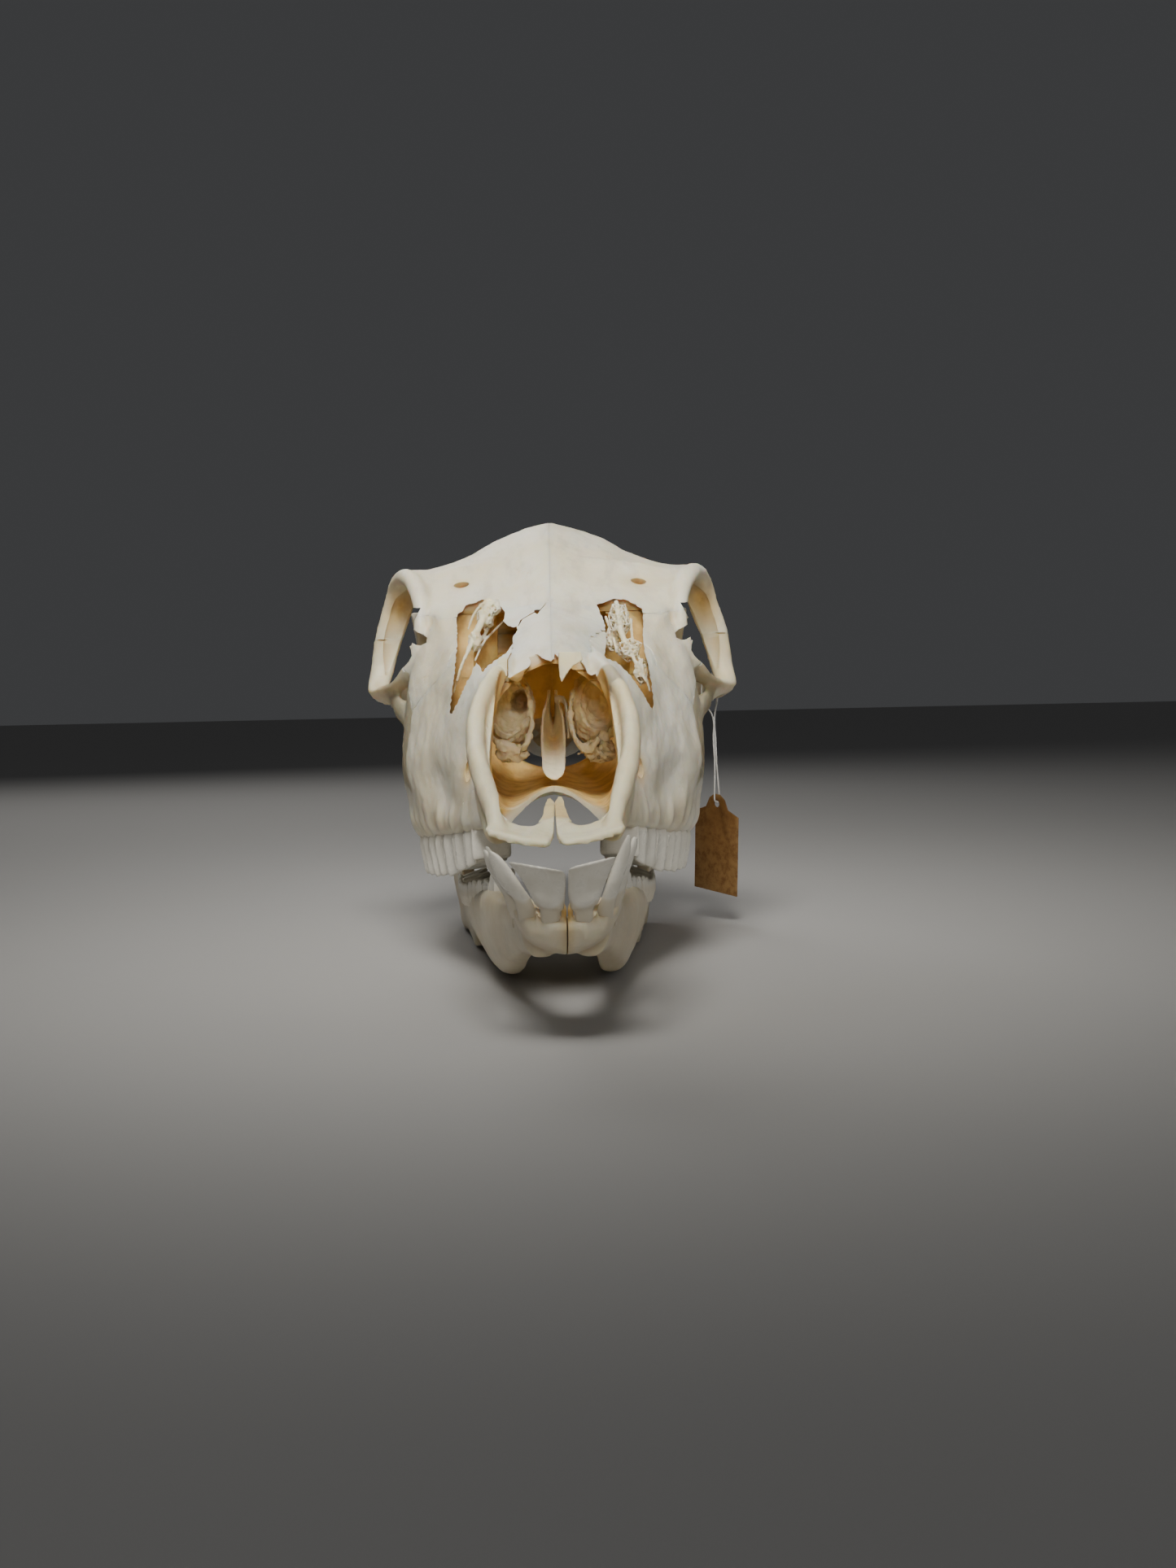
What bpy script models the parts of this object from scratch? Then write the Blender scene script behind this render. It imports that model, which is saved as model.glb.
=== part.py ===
"""A fallow deer doe's skull at life size, with its lower jaw in place and a card tag on a thread.

The bones are drawn in a skull frame, in millimetres: X to the animal's left, Y from the tip of the
upper jaw (0) back to the occiput, Z up from the roof of the mouth at the first cheek tooth (0).
The whole is then tipped a little, nose up, so that the lower jaw stands on the floor, and moved so
that the origin lies at the middle of the bones' footprint.
"""

import math
import random

import bmesh
import bpy
import numpy as np
from mathutils import Euler, Matrix, Vector

MM = 0.001
GAP = 0.3
SIDES = {"left": 1.0, "right": -1.0}

# How the skull stands
JAW_TILT_DEGREES = 1.6
FLOOR_TRIM = 0.5

# How finely the fused bone is sampled, and how many faces each form keeps
VOXEL = 1.1
SMOOTHING_PASSES = 5
OUTER_TRIANGLES = 4650
CAVITY_TRIANGLES = 760
JAW_TRIANGLES = 1000
RING_POINTS = 40

BONE = (0.84, 0.80, 0.70, 1.0)
INNER_BONE = (0.72, 0.52, 0.25, 1.0)
CARD = (0.42, 0.22, 0.06, 1.0)
COTTON = (0.75, 0.74, 0.72, 1.0)

# The face between the tip of the jaw and the orbits: each line is (y, x, z) along the bone
ROOF_MIDDLE = ((14, 0, 7.5), (30, 0, 18.5), (45, 0, 29), (60, 0, 39.8), (75, 0, 44.8), (95, 0, 50.6),
               (115, 0, 55.6), (135, 0, 62.5), (152, 0, 73.5))
ROOF_SHOULDER = ((14, 12, 5.5), (30, 14.5, 17.5), (45, 14, 28), (60, 10.8, 35.2), (75, 11.6, 39.6),
                 (95, 13, 44.8), (115, 17.5, 50), (135, 29.5, 58.8), (152, 37, 67))
SIDE_WALL = ((14, 14.3, 3.5), (30, 17, 12), (45, 17.6, 20.5), (60, 16.6, 26.5), (75, 18.6, 30),
             (95, 23.2, 34.5), (115, 29.6, 39.5), (135, 37, 47), (152, 38, 48))
CHEEK = ((14, 14, 1.5), (30, 15.8, 5), (45, 15.5, 8), (60, 16, 10), (75, 20, 13), (95, 28, 15),
         (115, 36, 15), (135, 41.2, 17.5), (152, 40, 20))
ALVEOLAR_EDGE = ((14, 12.5, 0), (30, 13, 0), (45, 13.2, 0), (60, 14, 0.3), (75, 19.8, 0), (95, 26, -1.6),
                 (115, 32.6, -3.4), (135, 36.8, -4.6), (152, 34, -3))
ALVEOLAR_INNER = ((14, 8, 0.5), (30, 9, 2), (45, 10, 3.4), (60, 10.6, 3.6), (75, 12.4, 2.6), (95, 15.5, 1.2),
                  (115, 19, 0), (135, 21.5, -0.8), (152, 20.5, 1))
PALATE_MIDDLE = ((14, 0, 1), (30, 0, 4.4), (45, 0, 8), (60, 0, 8.4), (75, 0, 8.2), (95, 0, 8),
                 (115, 0, 8), (135, 0, 8.2), (152, 0, 10))
FACE_LINES = (ROOF_MIDDLE, ROOF_SHOULDER, SIDE_WALL, CHEEK, ALVEOLAR_EDGE, ALVEOLAR_INNER, PALATE_MIDDLE)

# The forehead between and over the orbits: the same kind of lines, from the middle out and under the rim
FOREHEAD_LINES = (
    ((122, 0, 57.5), (135, 0, 62.8), (152, 0, 73.6), (165, 0, 80.6), (180, 0, 86.4), (190, 0, 87),
     (200, 0, 85)),
    ((122, 9, 56.3), (135, 12, 62), (152, 14, 72), (165, 14.5, 77.6), (180, 14.5, 82.4), (190, 14.5, 82.6),
     (200, 14, 80.5)),
    ((122, 16.5, 53.4), (135, 21, 60.6), (152, 24, 70.6), (165, 24, 74.2), (180, 23, 77.6), (190, 22, 77),
     (200, 20, 75)),
    ((122, 21.5, 50.8), (135, 29.5, 59.4), (152, 34, 69.4), (165, 35.5, 72), (180, 32, 73), (190, 27.5, 71.5),
     (200, 24, 69)),
    ((122, 24, 49.5), (135, 34.6, 58.4), (145, 38, 66.4), (155, 41, 70.2), (165, 43.4, 70.8),
     (174, 41.8, 70.2), (182, 36.5, 69.3), (190, 30.5, 67), (200, 27, 63)),
    ((122, 22, 48), (135, 32.6, 54.6), (145, 34, 61.8), (155, 38.4, 65.4), (165, 41.6, 66), (174, 40, 66),
     (182, 34.5, 65), (190, 28.5, 62), (200, 25, 58)),
    ((122, 0, 46), (135, 0, 46), (152, 0, 48), (165, 0, 50), (190, 0, 50), (200, 0, 50)),
)

# The nasal cavity: the same kind of lines, a wall's thickness inside the face
CAVITY_LINES = (
    ((-6, 0, 32), (30, 0, 44), (56, 0, 46), (60, 0, 37.8), (75, 0, 42.8), (95, 0, 48.6), (115, 0, 53.6),
     (135, 0, 58.5), (144, 0, 58)),
    ((-6, 9, 30), (30, 11.4, 40), (56, 9.4, 42), (60, 9, 33.4), (75, 10, 37.7), (95, 11.4, 42.8),
     (115, 15.5, 47.8), (135, 18, 54), (144, 12, 54)),
    ((-6, 9.6, 16), (14, 11.2, 16), (30, 13.7, 18), (45, 13.2, 24), (56, 13.4, 26.5), (60, 13.8, 26),
     (75, 16.7, 29.5), (95, 21.2, 33.8), (115, 26.5, 38.5), (135, 21, 43), (144, 13, 46)),
    ((-6, 10, 6), (14, 11, 6.4), (30, 13.2, 8.6), (56, 13.6, 11), (60, 13.8, 11.5), (75, 17, 14),
     (95, 21, 17), (115, 21, 20), (135, 16.5, 23), (144, 13, 30)),
    ((-6, 7, 4.2), (14, 7.6, 4.4), (30, 10, 6.2), (56, 10.5, 6.2), (60, 10.5, 6.4), (75, 11, 6.8),
     (95, 12, 8), (115, 12, 10), (135, 10, 13), (144, 9, 26)),
    ((-6, 0, 3.8), (14, 0, 4.2), (24, 0, 5.6), (30, 0, 7.4), (45, 0, 10.2), (60, 0, 10.4),
     (75, 0, 10.3), (95, 0, 10.2), (115, 0, 11.2), (135, 0, 13.5), (144, 0, 26)),
)

# The braincase as ovals: (y, half breadth, top, bottom)
BRAINCASE_OVALS = ((128, 14, 60, 32), (140, 19, 68, 28), (150, 20.5, 74, 25), (160, 22.5, 79, 24),
                   (170, 26, 83.5, 23), (180, 29.5, 86, 21.5), (190, 32, 86.3, 20), (202, 34.5, 83, 18.5),
                   (214, 35, 77, 18), (224, 33, 70, 18.5), (232, 28, 62, 21), (238, 20, 53, 26))
# Bars as lines of (x, y, z, half breadth, half height) in the skull frame, on the left side
NOSE_ARM = ((11.2, 4.5, 2.6, 2.2, 2.2), (12.2, 9, 6.0, 2.6, 3.0), (14.3, 17, 11.8, 2.4, 3.3),
            (16.1, 27, 18.4, 2.3, 3.4), (16.3, 36, 24.4, 2.2, 3.3), (14.9, 45, 30.4, 2.0, 3.0),
            (12.9, 54, 35.2, 1.9, 2.6), (11, 64, 37.8, 2.0, 2.2), (10.8, 76, 40.4, 2.0, 1.8))
ORBIT_RIM = ((39.4, 149, 67.4, 2.8, 2.4), (42.2, 160, 68.8, 3.2, 2.6), (43.6, 168, 66.2, 4.2, 2.4),
             (45.6, 171.5, 60, 4.4, 2.2), (48.6, 173, 52, 4.0, 2.4), (50, 172.5, 43, 3.8, 2.8),
             (50.4, 168, 37.6, 3.4, 3.0), (46.8, 155, 36.4, 2.8, 3.0), (41.4, 143, 38.6, 2.6, 2.6),
             (37.0, 135.5, 46, 2.2, 2.4), (35.4, 134.5, 54, 2.2, 2.4), (36.2, 139, 61.5, 2.4, 2.4))
CHEEK_BONE = ((26, 104, 16, 2.0, 3.0), (34.2, 122, 21.5, 3.0, 4.3), (41.0, 139, 28.6, 2.8, 4.4),
              (46.4, 154, 33.0, 2.8, 4.0), (51.4, 167, 36.0, 2.6, 3.3), (51, 179, 36.2, 2.0, 3.4),
              (48, 191, 36.8, 1.9, 3.8), (43.5, 200, 38.2, 2.6, 3.6), (36, 207, 39.5, 4.0, 4.2),
              (29, 211, 39, 4.5, 4.5))
PARACONDYLE = ((25.5, 227, 34, 4.5, 4.5), (26.6, 232, 22, 2.6, 4.2), (25.6, 233.5, 12, 2.0, 3.2),
               (24, 233, 3.5, 1.5, 2.0))
NUCHAL_CREST = ((-33.5, 219, 34, 2.2, 2.4), (-31.5, 226, 43, 2.2, 2.4), (-24.5, 231.5, 51.5, 2.2, 2.4),
                (-13, 234.5, 58.5, 2.2, 2.4), (0, 235.5, 61, 2.6, 2.8), (13, 234.5, 58.5, 2.2, 2.4),
                (24.5, 231.5, 51.5, 2.2, 2.4), (31.5, 226, 43, 2.2, 2.4), (33.5, 219, 34, 2.2, 2.4))
EAR_TUBE = ((25, 211, 25, 4, 4), (32, 213, 29, 3.6, 3.6), (37.5, 215.5, 32.5, 3.2, 3.2))
SKULL_BASE = ((0, 172, 24, 7, 4.5), (0, 195, 21.5, 8, 4.5), (0, 215, 20, 9, 4.5), (0, 236, 22, 12, 5))
PTERYGOID = ((12.6, 142, 4, 1.6, 4.5), (13, 152, 9, 1.4, 8), (12.6, 163, 13.5, 1.3, 9.5),
             (12, 174, 16, 1.3, 9), (13, 184, 19, 1.6, 6))
CHOANA = ((0, 132, 21, 12.5, 7), (0, 150, 20, 11.6, 7.5), (0, 172, 14, 11, 9), (0, 182, 10, 10, 9))
FORAMEN_MAGNUM = ((0, 218, 37, 9, 8.5), (0, 232, 34, 8.5, 8), (0, 252, 30, 8.5, 8.5))
INFRAORBITAL_CANAL = ((24, 66, 13.6, 2.0, 3.0), (19.6, 74, 14, 2.0, 2.6), (15.5, 84, 15, 2, 2))
SUPRAORBITAL_CANAL = ((26.2, 144, 76, 1.8, 1.8), (25.5, 147, 58, 1.6, 1.6))
EAR_CANAL = ((27, 211.6, 26.6, 1.5, 1.5), (46, 219, 38, 2, 2))
HAMULUS = ((12.4, 165, 9, 1.3, 3), (11.8, 173, 4.5, 1.2, 1.8), (11.5, 179, 2, 1.0, 1.2))

# The front plate of the upper jaw and the openings of the face, as outlines from above (x, y)
FRONT_PLATE = ((0.0, 12), (0.35, 6), (0.85, 1.0), (2.2, -0.4), (5.0, 0.2), (9.5, 1.2), (13.4, 2.8),
               (14.2, 7.5), (12.6, 14), (10.2, 12), (7.5, 10.4), (4.6, 11.6), (2.9, 16), (2.3, 24),
               (1.9, 30), (0.0, 30))
PLATE_THICKNESS = 2.1
PLATE_SLOPE = 0.24
PALATE_FISSURE = ((2.7, 18.5), (4.6, 13), (7.8, 11.8), (10.8, 14.2), (11.8, 24), (11.4, 36), (9, 44.5),
                  (5.4, 47.5), (2.7, 48))
VACUITY = {
    "left": ((25.4, 126), (23.4, 129.6), (20, 131.2), (13, 130.6), (9.6, 127.5), (8.4, 115), (7.8, 102),
             (11, 95.5), (15, 88), (17.4, 81), (18.8, 80), (20.4, 86), (24, 94), (26.2, 101), (26.4, 115)),
    "right": ((25, 126.5), (23, 129.4), (19.6, 130.8), (14.4, 130), (12, 127.4), (12.6, 116), (13.2, 104),
              (13.6, 94), (15.4, 87), (17.4, 80.5), (18.8, 79.5), (20.6, 86), (24, 95), (25.8, 101),
              (25.8, 115)),
}
NOSTRIL_EDGE = {
    "left": ((0, 57.5), (2.6, 58.4), (4.6, 62), (6.2, 61.2), (8.2, 57), (9.6, 55.5), (10.2, 54)),
    "right": ((0, 59.5), (2.4, 59.6), (4.4, 62), (7.2, 62.6), (8.8, 60), (10.2, 57.5), (10.6, 54)),
}

# Inside the nose: the vomer as (y, half breadth, low, high), and the scroll on the side wall as
# (y, x, z, half breadth, half height)
VOMER_STATIONS = ((77, 2.6, 12.2, 15.5), (84, 3.2, 12.8, 20.5), (96, 3.4, 14.5, 26), (112, 3.4, 17.5, 31),
                  (130, 3.0, 21, 34))
VOMER_WALL = 0.7
SCROLL_STATIONS = ((87, 10.6, 25.6, 5.4, 6.4), (96, 11.4, 27.6, 6.2, 7.4), (108, 11.6, 30.6, 6.4, 8.2),
                   (122, 10.6, 34, 5.6, 8))
SCROLL_WALL = 1.1
SCROLL_TURNS = (-172, 96)

# The cheek teeth: (front, back, breadth) along the row, from the second premolar to the third molar
UPPER_TEETH = ((75.5, 85.2, 9.5), (85.6, 95.8, 11), (96.2, 106, 12), (106.4, 118.4, 13.8),
               (118.8, 132.4, 14.6), (132.8, 146, 13.6))
LOWER_TEETH = ((73, 80.6, 5.6), (81, 90.4, 6.8), (90.8, 101, 7.4), (101.4, 113.4, 8.6), (113.8, 127, 9.2),
               (127.4, 146.5, 9.0))
UPPER_BUCCAL_LINE = ((74, 19.2, 0), (85, 22.2, 0), (96, 26, 0), (106, 29.6, 0), (118, 33.8, 0),
                     (130, 36.6, 0), (147, 37, 0))
LOWER_BUCCAL_LINE = ((72, 15.6, 0), (85, 18.2, 0), (96, 20.2, 0), (106, 22.2, 0), (118, 24.6, 0),
                     (130, 26.4, 0), (148, 27.4, 0))
UPPER_ALVEOLAR_LINE = ((74, 0, 0.4), (95, 0, -1.6), (115, 0, -3.4), (135, 0, -4.8), (150, 0, -4.8))
UPPER_TIP_LINE = ((74, 0, -9.2), (85, 0, -11), (100, 0, -13), (118, 0, -15), (135, 0, -15.6), (150, 0, -15))
LOWER_TIP_LINE = tuple((y, x, z + 1.5) for y, x, z in UPPER_TIP_LINE)
UPPER_STEP = 2.4
LOWER_STEP = 1.6
ROOT_DEPTH = 4.0
RIB_DEPTH = 0.08
LOBE_DEPTH = 0.3
TOOTH_WEAR = 0.5
TOOTH_SEED = 7
TOOTH_LEAN = ((74, 0, 0.3), (84, 0, 0.8), (120, 0, 2.6), (150, 0, 2.6))

# The lower jaw's half: (y, x, z) along its two borders, and (y, half thickness)
JAW_UPPER_BORDER = ((4, 6.5, -10.5), (10, 6.6, -10), (20, 6.8, -11.4), (40, 9.0, -14.4), (60, 12.6, -15.6),
                    (74, 15.4, -14.6), (100, 18.6, -16.4), (125, 21.6, -18.4), (148, 24, -18.6),
                    (160, 25.4, -16))
JAW_LOWER_BORDER = ((4, 3.6, -18.5), (10, 3.4, -22.3), (20, 4.4, -24.2), (40, 7.4, -25.6), (60, 10, -30),
                    (74, 11.4, -34), (92, 12.4, -37.6), (115, 13.8, -38.8), (140, 16.4, -38.2),
                    (160, 18.8, -37))
JAW_HALF_THICKNESS = ((4, 3.6), (10, 4.3), (20, 3.8), (40, 3.0), (60, 3.6), (74, 4.2), (100, 4.7),
                      (125, 4.9), (148, 4.6), (160, 3.2))
# The upright part of the lower jaw seen from the side (y, z)
RAMUS_OUTLINE = ((146, -36.6), (146, -21), (152, -17.5), (157, -8), (160.5, 4), (165, 22), (170, 38),
                 (175.5, 50), (181.5, 58.5), (186, 61), (187, 57), (183.6, 47), (183.6, 38), (187, 31),
                 (193, 28.5), (200, 27.5), (202.5, 22), (201, 8), (201.5, -8), (203.5, -18), (202, -27),
                 (196, -33.6), (187, -36.4), (176, -35.6), (162, -36.4))
RAMUS_HALF_THICKNESS = 1.9
RAMUS_FOOT_X = 23.4
RAMUS_LEAN = 0.14
RAMUS_TOE_IN = 0.11
CONDYLE = ((28.6, 197.3, 29.4, 1.8, 2.0), (32, 197, 30, 3.2, 2.3), (38, 197, 30.2, 3.2, 2.3),
           (42, 197.6, 29.8, 1.8, 1.8))

# The front teeth: root centre, crown tip, crown breadth and thickness, and which way the face looks
FRONT_TEETH = (
    ((4.6, 8.6, -15.6), (6.0, -2.2, -4.0), 11.4, 2.6, -4),
    ((8.0, 8.4, -13.2), (13.4, 0.0, -1.0), 5.8, 2.4, -38),
    ((9.4, 10.2, -12.4), (15.2, 3.4, 0.2), 4.6, 2.2, -58),
    ((10.4, 12.8, -12.0), (16.0, 7.4, 1.2), 3.8, 2.0, -72),
)
FRONT_CROWN = ((0.0, 0.34, 1.0), (0.3, 0.40, 1.2), (0.45, 0.62, 1.15), (0.62, 0.88, 0.95), (0.8, 1.0, 0.75),
               (0.94, 1.0, 0.45), (1.0, 0.93, 0.25))
CHIN = ((4.5, 3, -12.0, 5.8, 2.6), (5.2, 8, -14.2, 6.0, 4.8), (3.9, 14, -17.2, 4.7, 6.0),
        (4.2, 26, -18.4, 4.0, 5.6))
JAW_SWING_DEGREES = 0.8
JAW_SWING_Y = 150.0

# The card tag and its thread, hung on the cheek arch at the animal's left
TAG_HEIGHT = 31.0
TAG_BREADTH = 17.5
TAG_THICKNESS = 0.6
TAG_TOP = (50.2, 189.5, 3.6)
TAG_TURN_DEGREES = 42.0
TAG_SWING_DEGREES = -6.0
TAG_LEAN_DEGREES = 8.0
THREAD_DIAMETER = 0.9
THREAD_ROUTE = ((48.9, 187.6, 31.8), (49.1, 187.8, 26), (49.5, 188.2, 20), (49.9, 188.6, 12),
                (50.1, 189, 7.5), (50.2, 189.4, 4.5))


def clear_scene():
    """Removes every object that the scene starts with."""
    for obj in list(bpy.data.objects):
        bpy.data.objects.remove(obj, do_unlink=True)


def material(name, colour, roughness):
    """A plain Principled material."""
    made = bpy.data.materials.new(name)
    made.use_nodes = True
    shader = made.node_tree.nodes["Principled BSDF"]
    shader.inputs["Base Color"].default_value = colour
    shader.inputs["Roughness"].default_value = roughness
    shader.inputs["Metallic"].default_value = 0.0
    return made


def link(name, mesh):
    """A new object of this mesh in the scene."""
    obj = bpy.data.objects.new(name, mesh)
    bpy.context.scene.collection.objects.link(obj)
    return obj


def object_from(name, points, faces):
    """A mesh object from points in millimetres, with its faces turned outwards."""
    mesh = bpy.data.meshes.new(name)
    mesh.from_pydata([tuple(float(c) * MM for c in p) for p in points], [], faces)
    form = bmesh.new()
    form.from_mesh(mesh)
    bmesh.ops.recalc_face_normals(form, faces=form.faces)
    form.to_mesh(mesh)
    form.free()
    return link(name, mesh)


def smooth_value(knots, values, at):
    """Values between knots on a smooth curve that doesn't overshoot them."""
    knots = np.asarray(knots, float)
    values = np.asarray(values, float)
    steps = np.diff(knots)
    slopes = np.diff(values) / steps
    tangents = np.empty_like(values)
    tangents[0] = slopes[0]
    tangents[-1] = slopes[-1]
    for k in range(1, len(values) - 1):
        before, after = slopes[k - 1], slopes[k]
        if before * after <= 0:
            tangents[k] = 0.0
        else:
            heavy = 2 * steps[k] + steps[k - 1]
            light = steps[k] + 2 * steps[k - 1]
            tangents[k] = (heavy + light) / (heavy / before + light / after)
    k = int(np.clip(np.searchsorted(knots, at) - 1, 0, len(steps) - 1))
    t = float(np.clip((at - knots[k]) / steps[k], 0.0, 1.0))
    start = (1 + 2 * t) * (1 - t) ** 2 * values[k] + t * (1 - t) ** 2 * steps[k] * tangents[k]
    end = t * t * (3 - 2 * t) * values[k + 1] + t * t * (t - 1) * steps[k] * tangents[k + 1]
    return start + end


def line_at(line, y):
    """The point (x, y, z) of a (y, x, z) line at this y."""
    ys = [p[0] for p in line]
    x = smooth_value(ys, [p[1] for p in line], y)
    z = smooth_value(ys, [p[2] for p in line], y)
    return np.array((x, y, z))


def through(points, count, closed=False):
    """Points evenly spaced along a smooth curve through the given ones."""
    points = np.asarray(points, float)
    if closed:
        points = np.vstack((points, points[:1]))
    steps = np.sqrt(np.linalg.norm(np.diff(points[:, :3], axis=0), axis=1))
    knots = np.concatenate(([0.0], np.cumsum(np.maximum(steps, 1e-6))))
    if closed:
        before = points[-2] - points[-1] + points[0]
        after = points[1] - points[0] + points[-1]
        knots_all = np.concatenate(([-steps[-1]], knots, [knots[-1] + steps[0]]))
        all_points = np.vstack((before, points, after))
    else:
        knots_all = np.concatenate(([-steps[0]], knots, [knots[-1] + steps[-1]]))
        all_points = np.vstack((2 * points[0] - points[1], points, 2 * points[-1] - points[-2]))
    at = np.linspace(0.0, knots[-1], count, endpoint=not closed)
    made = []
    for t in at:
        k = int(np.clip(np.searchsorted(knots_all, t, side="right") - 1, 1, len(knots_all) - 3))
        t0, t1, t2, t3 = knots_all[k - 1:k + 3]
        p0, p1, p2, p3 = all_points[k - 1:k + 3]
        a1 = (t1 - t) / (t1 - t0) * p0 + (t - t0) / (t1 - t0) * p1
        a2 = (t2 - t) / (t2 - t1) * p1 + (t - t1) / (t2 - t1) * p2
        a3 = (t3 - t) / (t3 - t2) * p2 + (t - t2) / (t3 - t2) * p3
        b1 = (t2 - t) / (t2 - t0) * a1 + (t - t0) / (t2 - t0) * a2
        b2 = (t3 - t) / (t3 - t1) * a2 + (t - t1) / (t3 - t1) * a3
        made.append((t2 - t) / (t2 - t1) * b1 + (t - t1) / (t2 - t1) * b2)
    return np.array(made)


def loft(name, rings, closed_path=False):
    """A closed body through rings of equally many points."""
    count = len(rings[0])
    points = [p for ring in rings for p in ring]
    faces = []
    last = len(rings) if closed_path else len(rings) - 1
    for r in range(last):
        a, b = r * count, ((r + 1) % len(rings)) * count
        for k in range(count):
            n = (k + 1) % count
            faces.append((a + k, a + n, b + n, b + k))
    if not closed_path:
        faces.append(tuple(range(count))[::-1])
        faces.append(tuple(range((len(rings) - 1) * count, len(rings) * count)))
    return object_from(name, points, faces)


def lined_body(name, lines, low, high, spacing=3.0):
    """A body whose cross-section at each y runs through the lines' points and their mirror images."""
    rings = []
    for y in np.linspace(low, high, max(2, int(round((high - low) / spacing)) + 1)):
        half = [line_at(line, y) for line in lines]
        other = [p * (-1, 1, 1) for p in half[-2:0:-1]]
        rings.append(through(half + other, RING_POINTS, closed=True))
    return loft(name, rings)


def oval_body(name, ovals, spacing=3.0):
    """A body of upright ovals (y, half breadth, top, bottom)."""
    ys = [o[0] for o in ovals]
    rings = []
    for y in np.linspace(ys[0], ys[-1], int(round((ys[-1] - ys[0]) / spacing)) + 1):
        half, top, bottom = (smooth_value(ys, [o[k] for o in ovals], y) for k in (1, 2, 3))
        turns = np.linspace(0, 2 * math.pi, RING_POINTS, endpoint=False)
        x = half * np.sin(turns)
        z = (top + bottom) / 2 + (top - bottom) / 2 * np.cos(turns)
        rings.append(np.column_stack((x, np.full_like(x, y), z)))
    return loft(name, rings)


def bar(name, line, side=1.0, closed=False, count=24, sides=12):
    """A bar of oval cross-section along (x, y, z, half breadth, half height) points."""
    samples = through(line, count, closed)
    path = samples[:, :3] * (side, 1, 1)
    ahead = np.roll(path, -1, axis=0) - np.roll(path, 1, axis=0)
    if not closed:
        ahead[0] = path[1] - path[0]
        ahead[-1] = path[-1] - path[-2]
    turns = np.linspace(0, 2 * math.pi, sides, endpoint=False)
    rings = []
    for point, direction, (half, tall) in zip(path, ahead, samples[:, 3:5]):
        direction = direction / np.linalg.norm(direction)
        across = np.array((1.0, 0.0, 0.0)) if abs(direction[0]) < 0.8 else np.array((0.0, 1.0, 0.0))
        across = across - direction * (across @ direction)
        across = across / np.linalg.norm(across)
        up = np.cross(direction, across)
        rings.append([point + across * half * math.cos(a) + up * tall * math.sin(a) for a in turns])
    return loft(name, rings, closed_path=closed)


def ellipsoid(name, centre, radii, turn_degrees=(0, 0, 0), side=1.0, fineness=3):
    """A ball stretched to these radii, turned about its centre."""
    form = bmesh.new()
    bmesh.ops.create_icosphere(form, subdivisions=fineness, radius=1.0)
    mesh = bpy.data.meshes.new(name)
    form.to_mesh(mesh)
    form.free()
    turn = Euler([math.radians(a) for a in turn_degrees]).to_matrix().to_4x4()
    stretch = Matrix.Diagonal((*[r * MM for r in radii], 1.0))
    place = Matrix.Diagonal((side, 1, 1, 1)) @ Matrix.Translation(Vector(centre) * MM)
    mesh.transform(place @ turn @ stretch)
    if side < 0:
        mesh.flip_normals()
    return link(name, mesh)


def prism(name, outline, low, high, axis="x", side=1.0):
    """An outline pushed along an axis between two heights: (y, z) for axis x, (x, y) for axis z."""
    def place(p, t):
        return (t * side, p[0], p[1]) if axis == "x" else (p[0] * side, p[1], t)
    count = len(outline)
    points = [place(p, low) for p in outline] + [place(p, high) for p in outline]
    faces = [tuple(range(count)), tuple(range(count, 2 * count))]
    faces += [(k, (k + 1) % count, count + (k + 1) % count, count + k) for k in range(count)]
    return object_from(name, points, faces)


def settle(obj):
    """Applies all of an object's modifiers."""
    bpy.context.view_layer.update()
    graph = bpy.context.evaluated_depsgraph_get()
    mesh = bpy.data.meshes.new_from_object(obj.evaluated_get(graph))
    obj.modifiers.clear()
    obj.data = mesh
    return obj


def joined(name, objects):
    """One object that holds the meshes of all the others, which are removed."""
    form = bmesh.new()
    for obj in objects:
        form.from_mesh(obj.data)
        bpy.data.objects.remove(obj, do_unlink=True)
    mesh = bpy.data.meshes.new(name)
    form.to_mesh(mesh)
    form.free()
    return link(name, mesh)


def fused(name, objects, voxel=VOXEL, passes=SMOOTHING_PASSES):
    """Overlapping bodies grown into one, with their joints rounded."""
    obj = joined(name, objects)
    remesh = obj.modifiers.new("grow together", "REMESH")
    remesh.mode = "VOXEL"
    remesh.voxel_size = voxel * MM
    if passes:
        smooth = obj.modifiers.new("round the joints", "SMOOTH")
        smooth.factor = 0.5
        smooth.iterations = passes
    return settle(obj)


def thinned(obj, triangles):
    """The same surface with about this many triangles."""
    split = obj.modifiers.new("split", "TRIANGULATE")
    split.quad_method = "SHORTEST_DIAGONAL"
    settle(obj)
    count = len(obj.data.polygons)
    if count > triangles:
        fewer = obj.modifiers.new("fewer faces", "DECIMATE")
        fewer.ratio = triangles / count
        fewer.use_collapse_triangulate = True
        settle(obj)
    return obj


def boolean(obj, operation, others, solver="MANIFOLD", keep=False):
    """Joins, cuts or keeps what is common with each of the others, which are removed unless kept."""
    for other in others:
        step = obj.modifiers.new(operation.lower(), "BOOLEAN")
        step.operation = operation
        step.solver = solver
        step.object = other
    settle(obj)
    if not keep:
        for other in others:
            bpy.data.objects.remove(other, do_unlink=True)
    return obj


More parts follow.
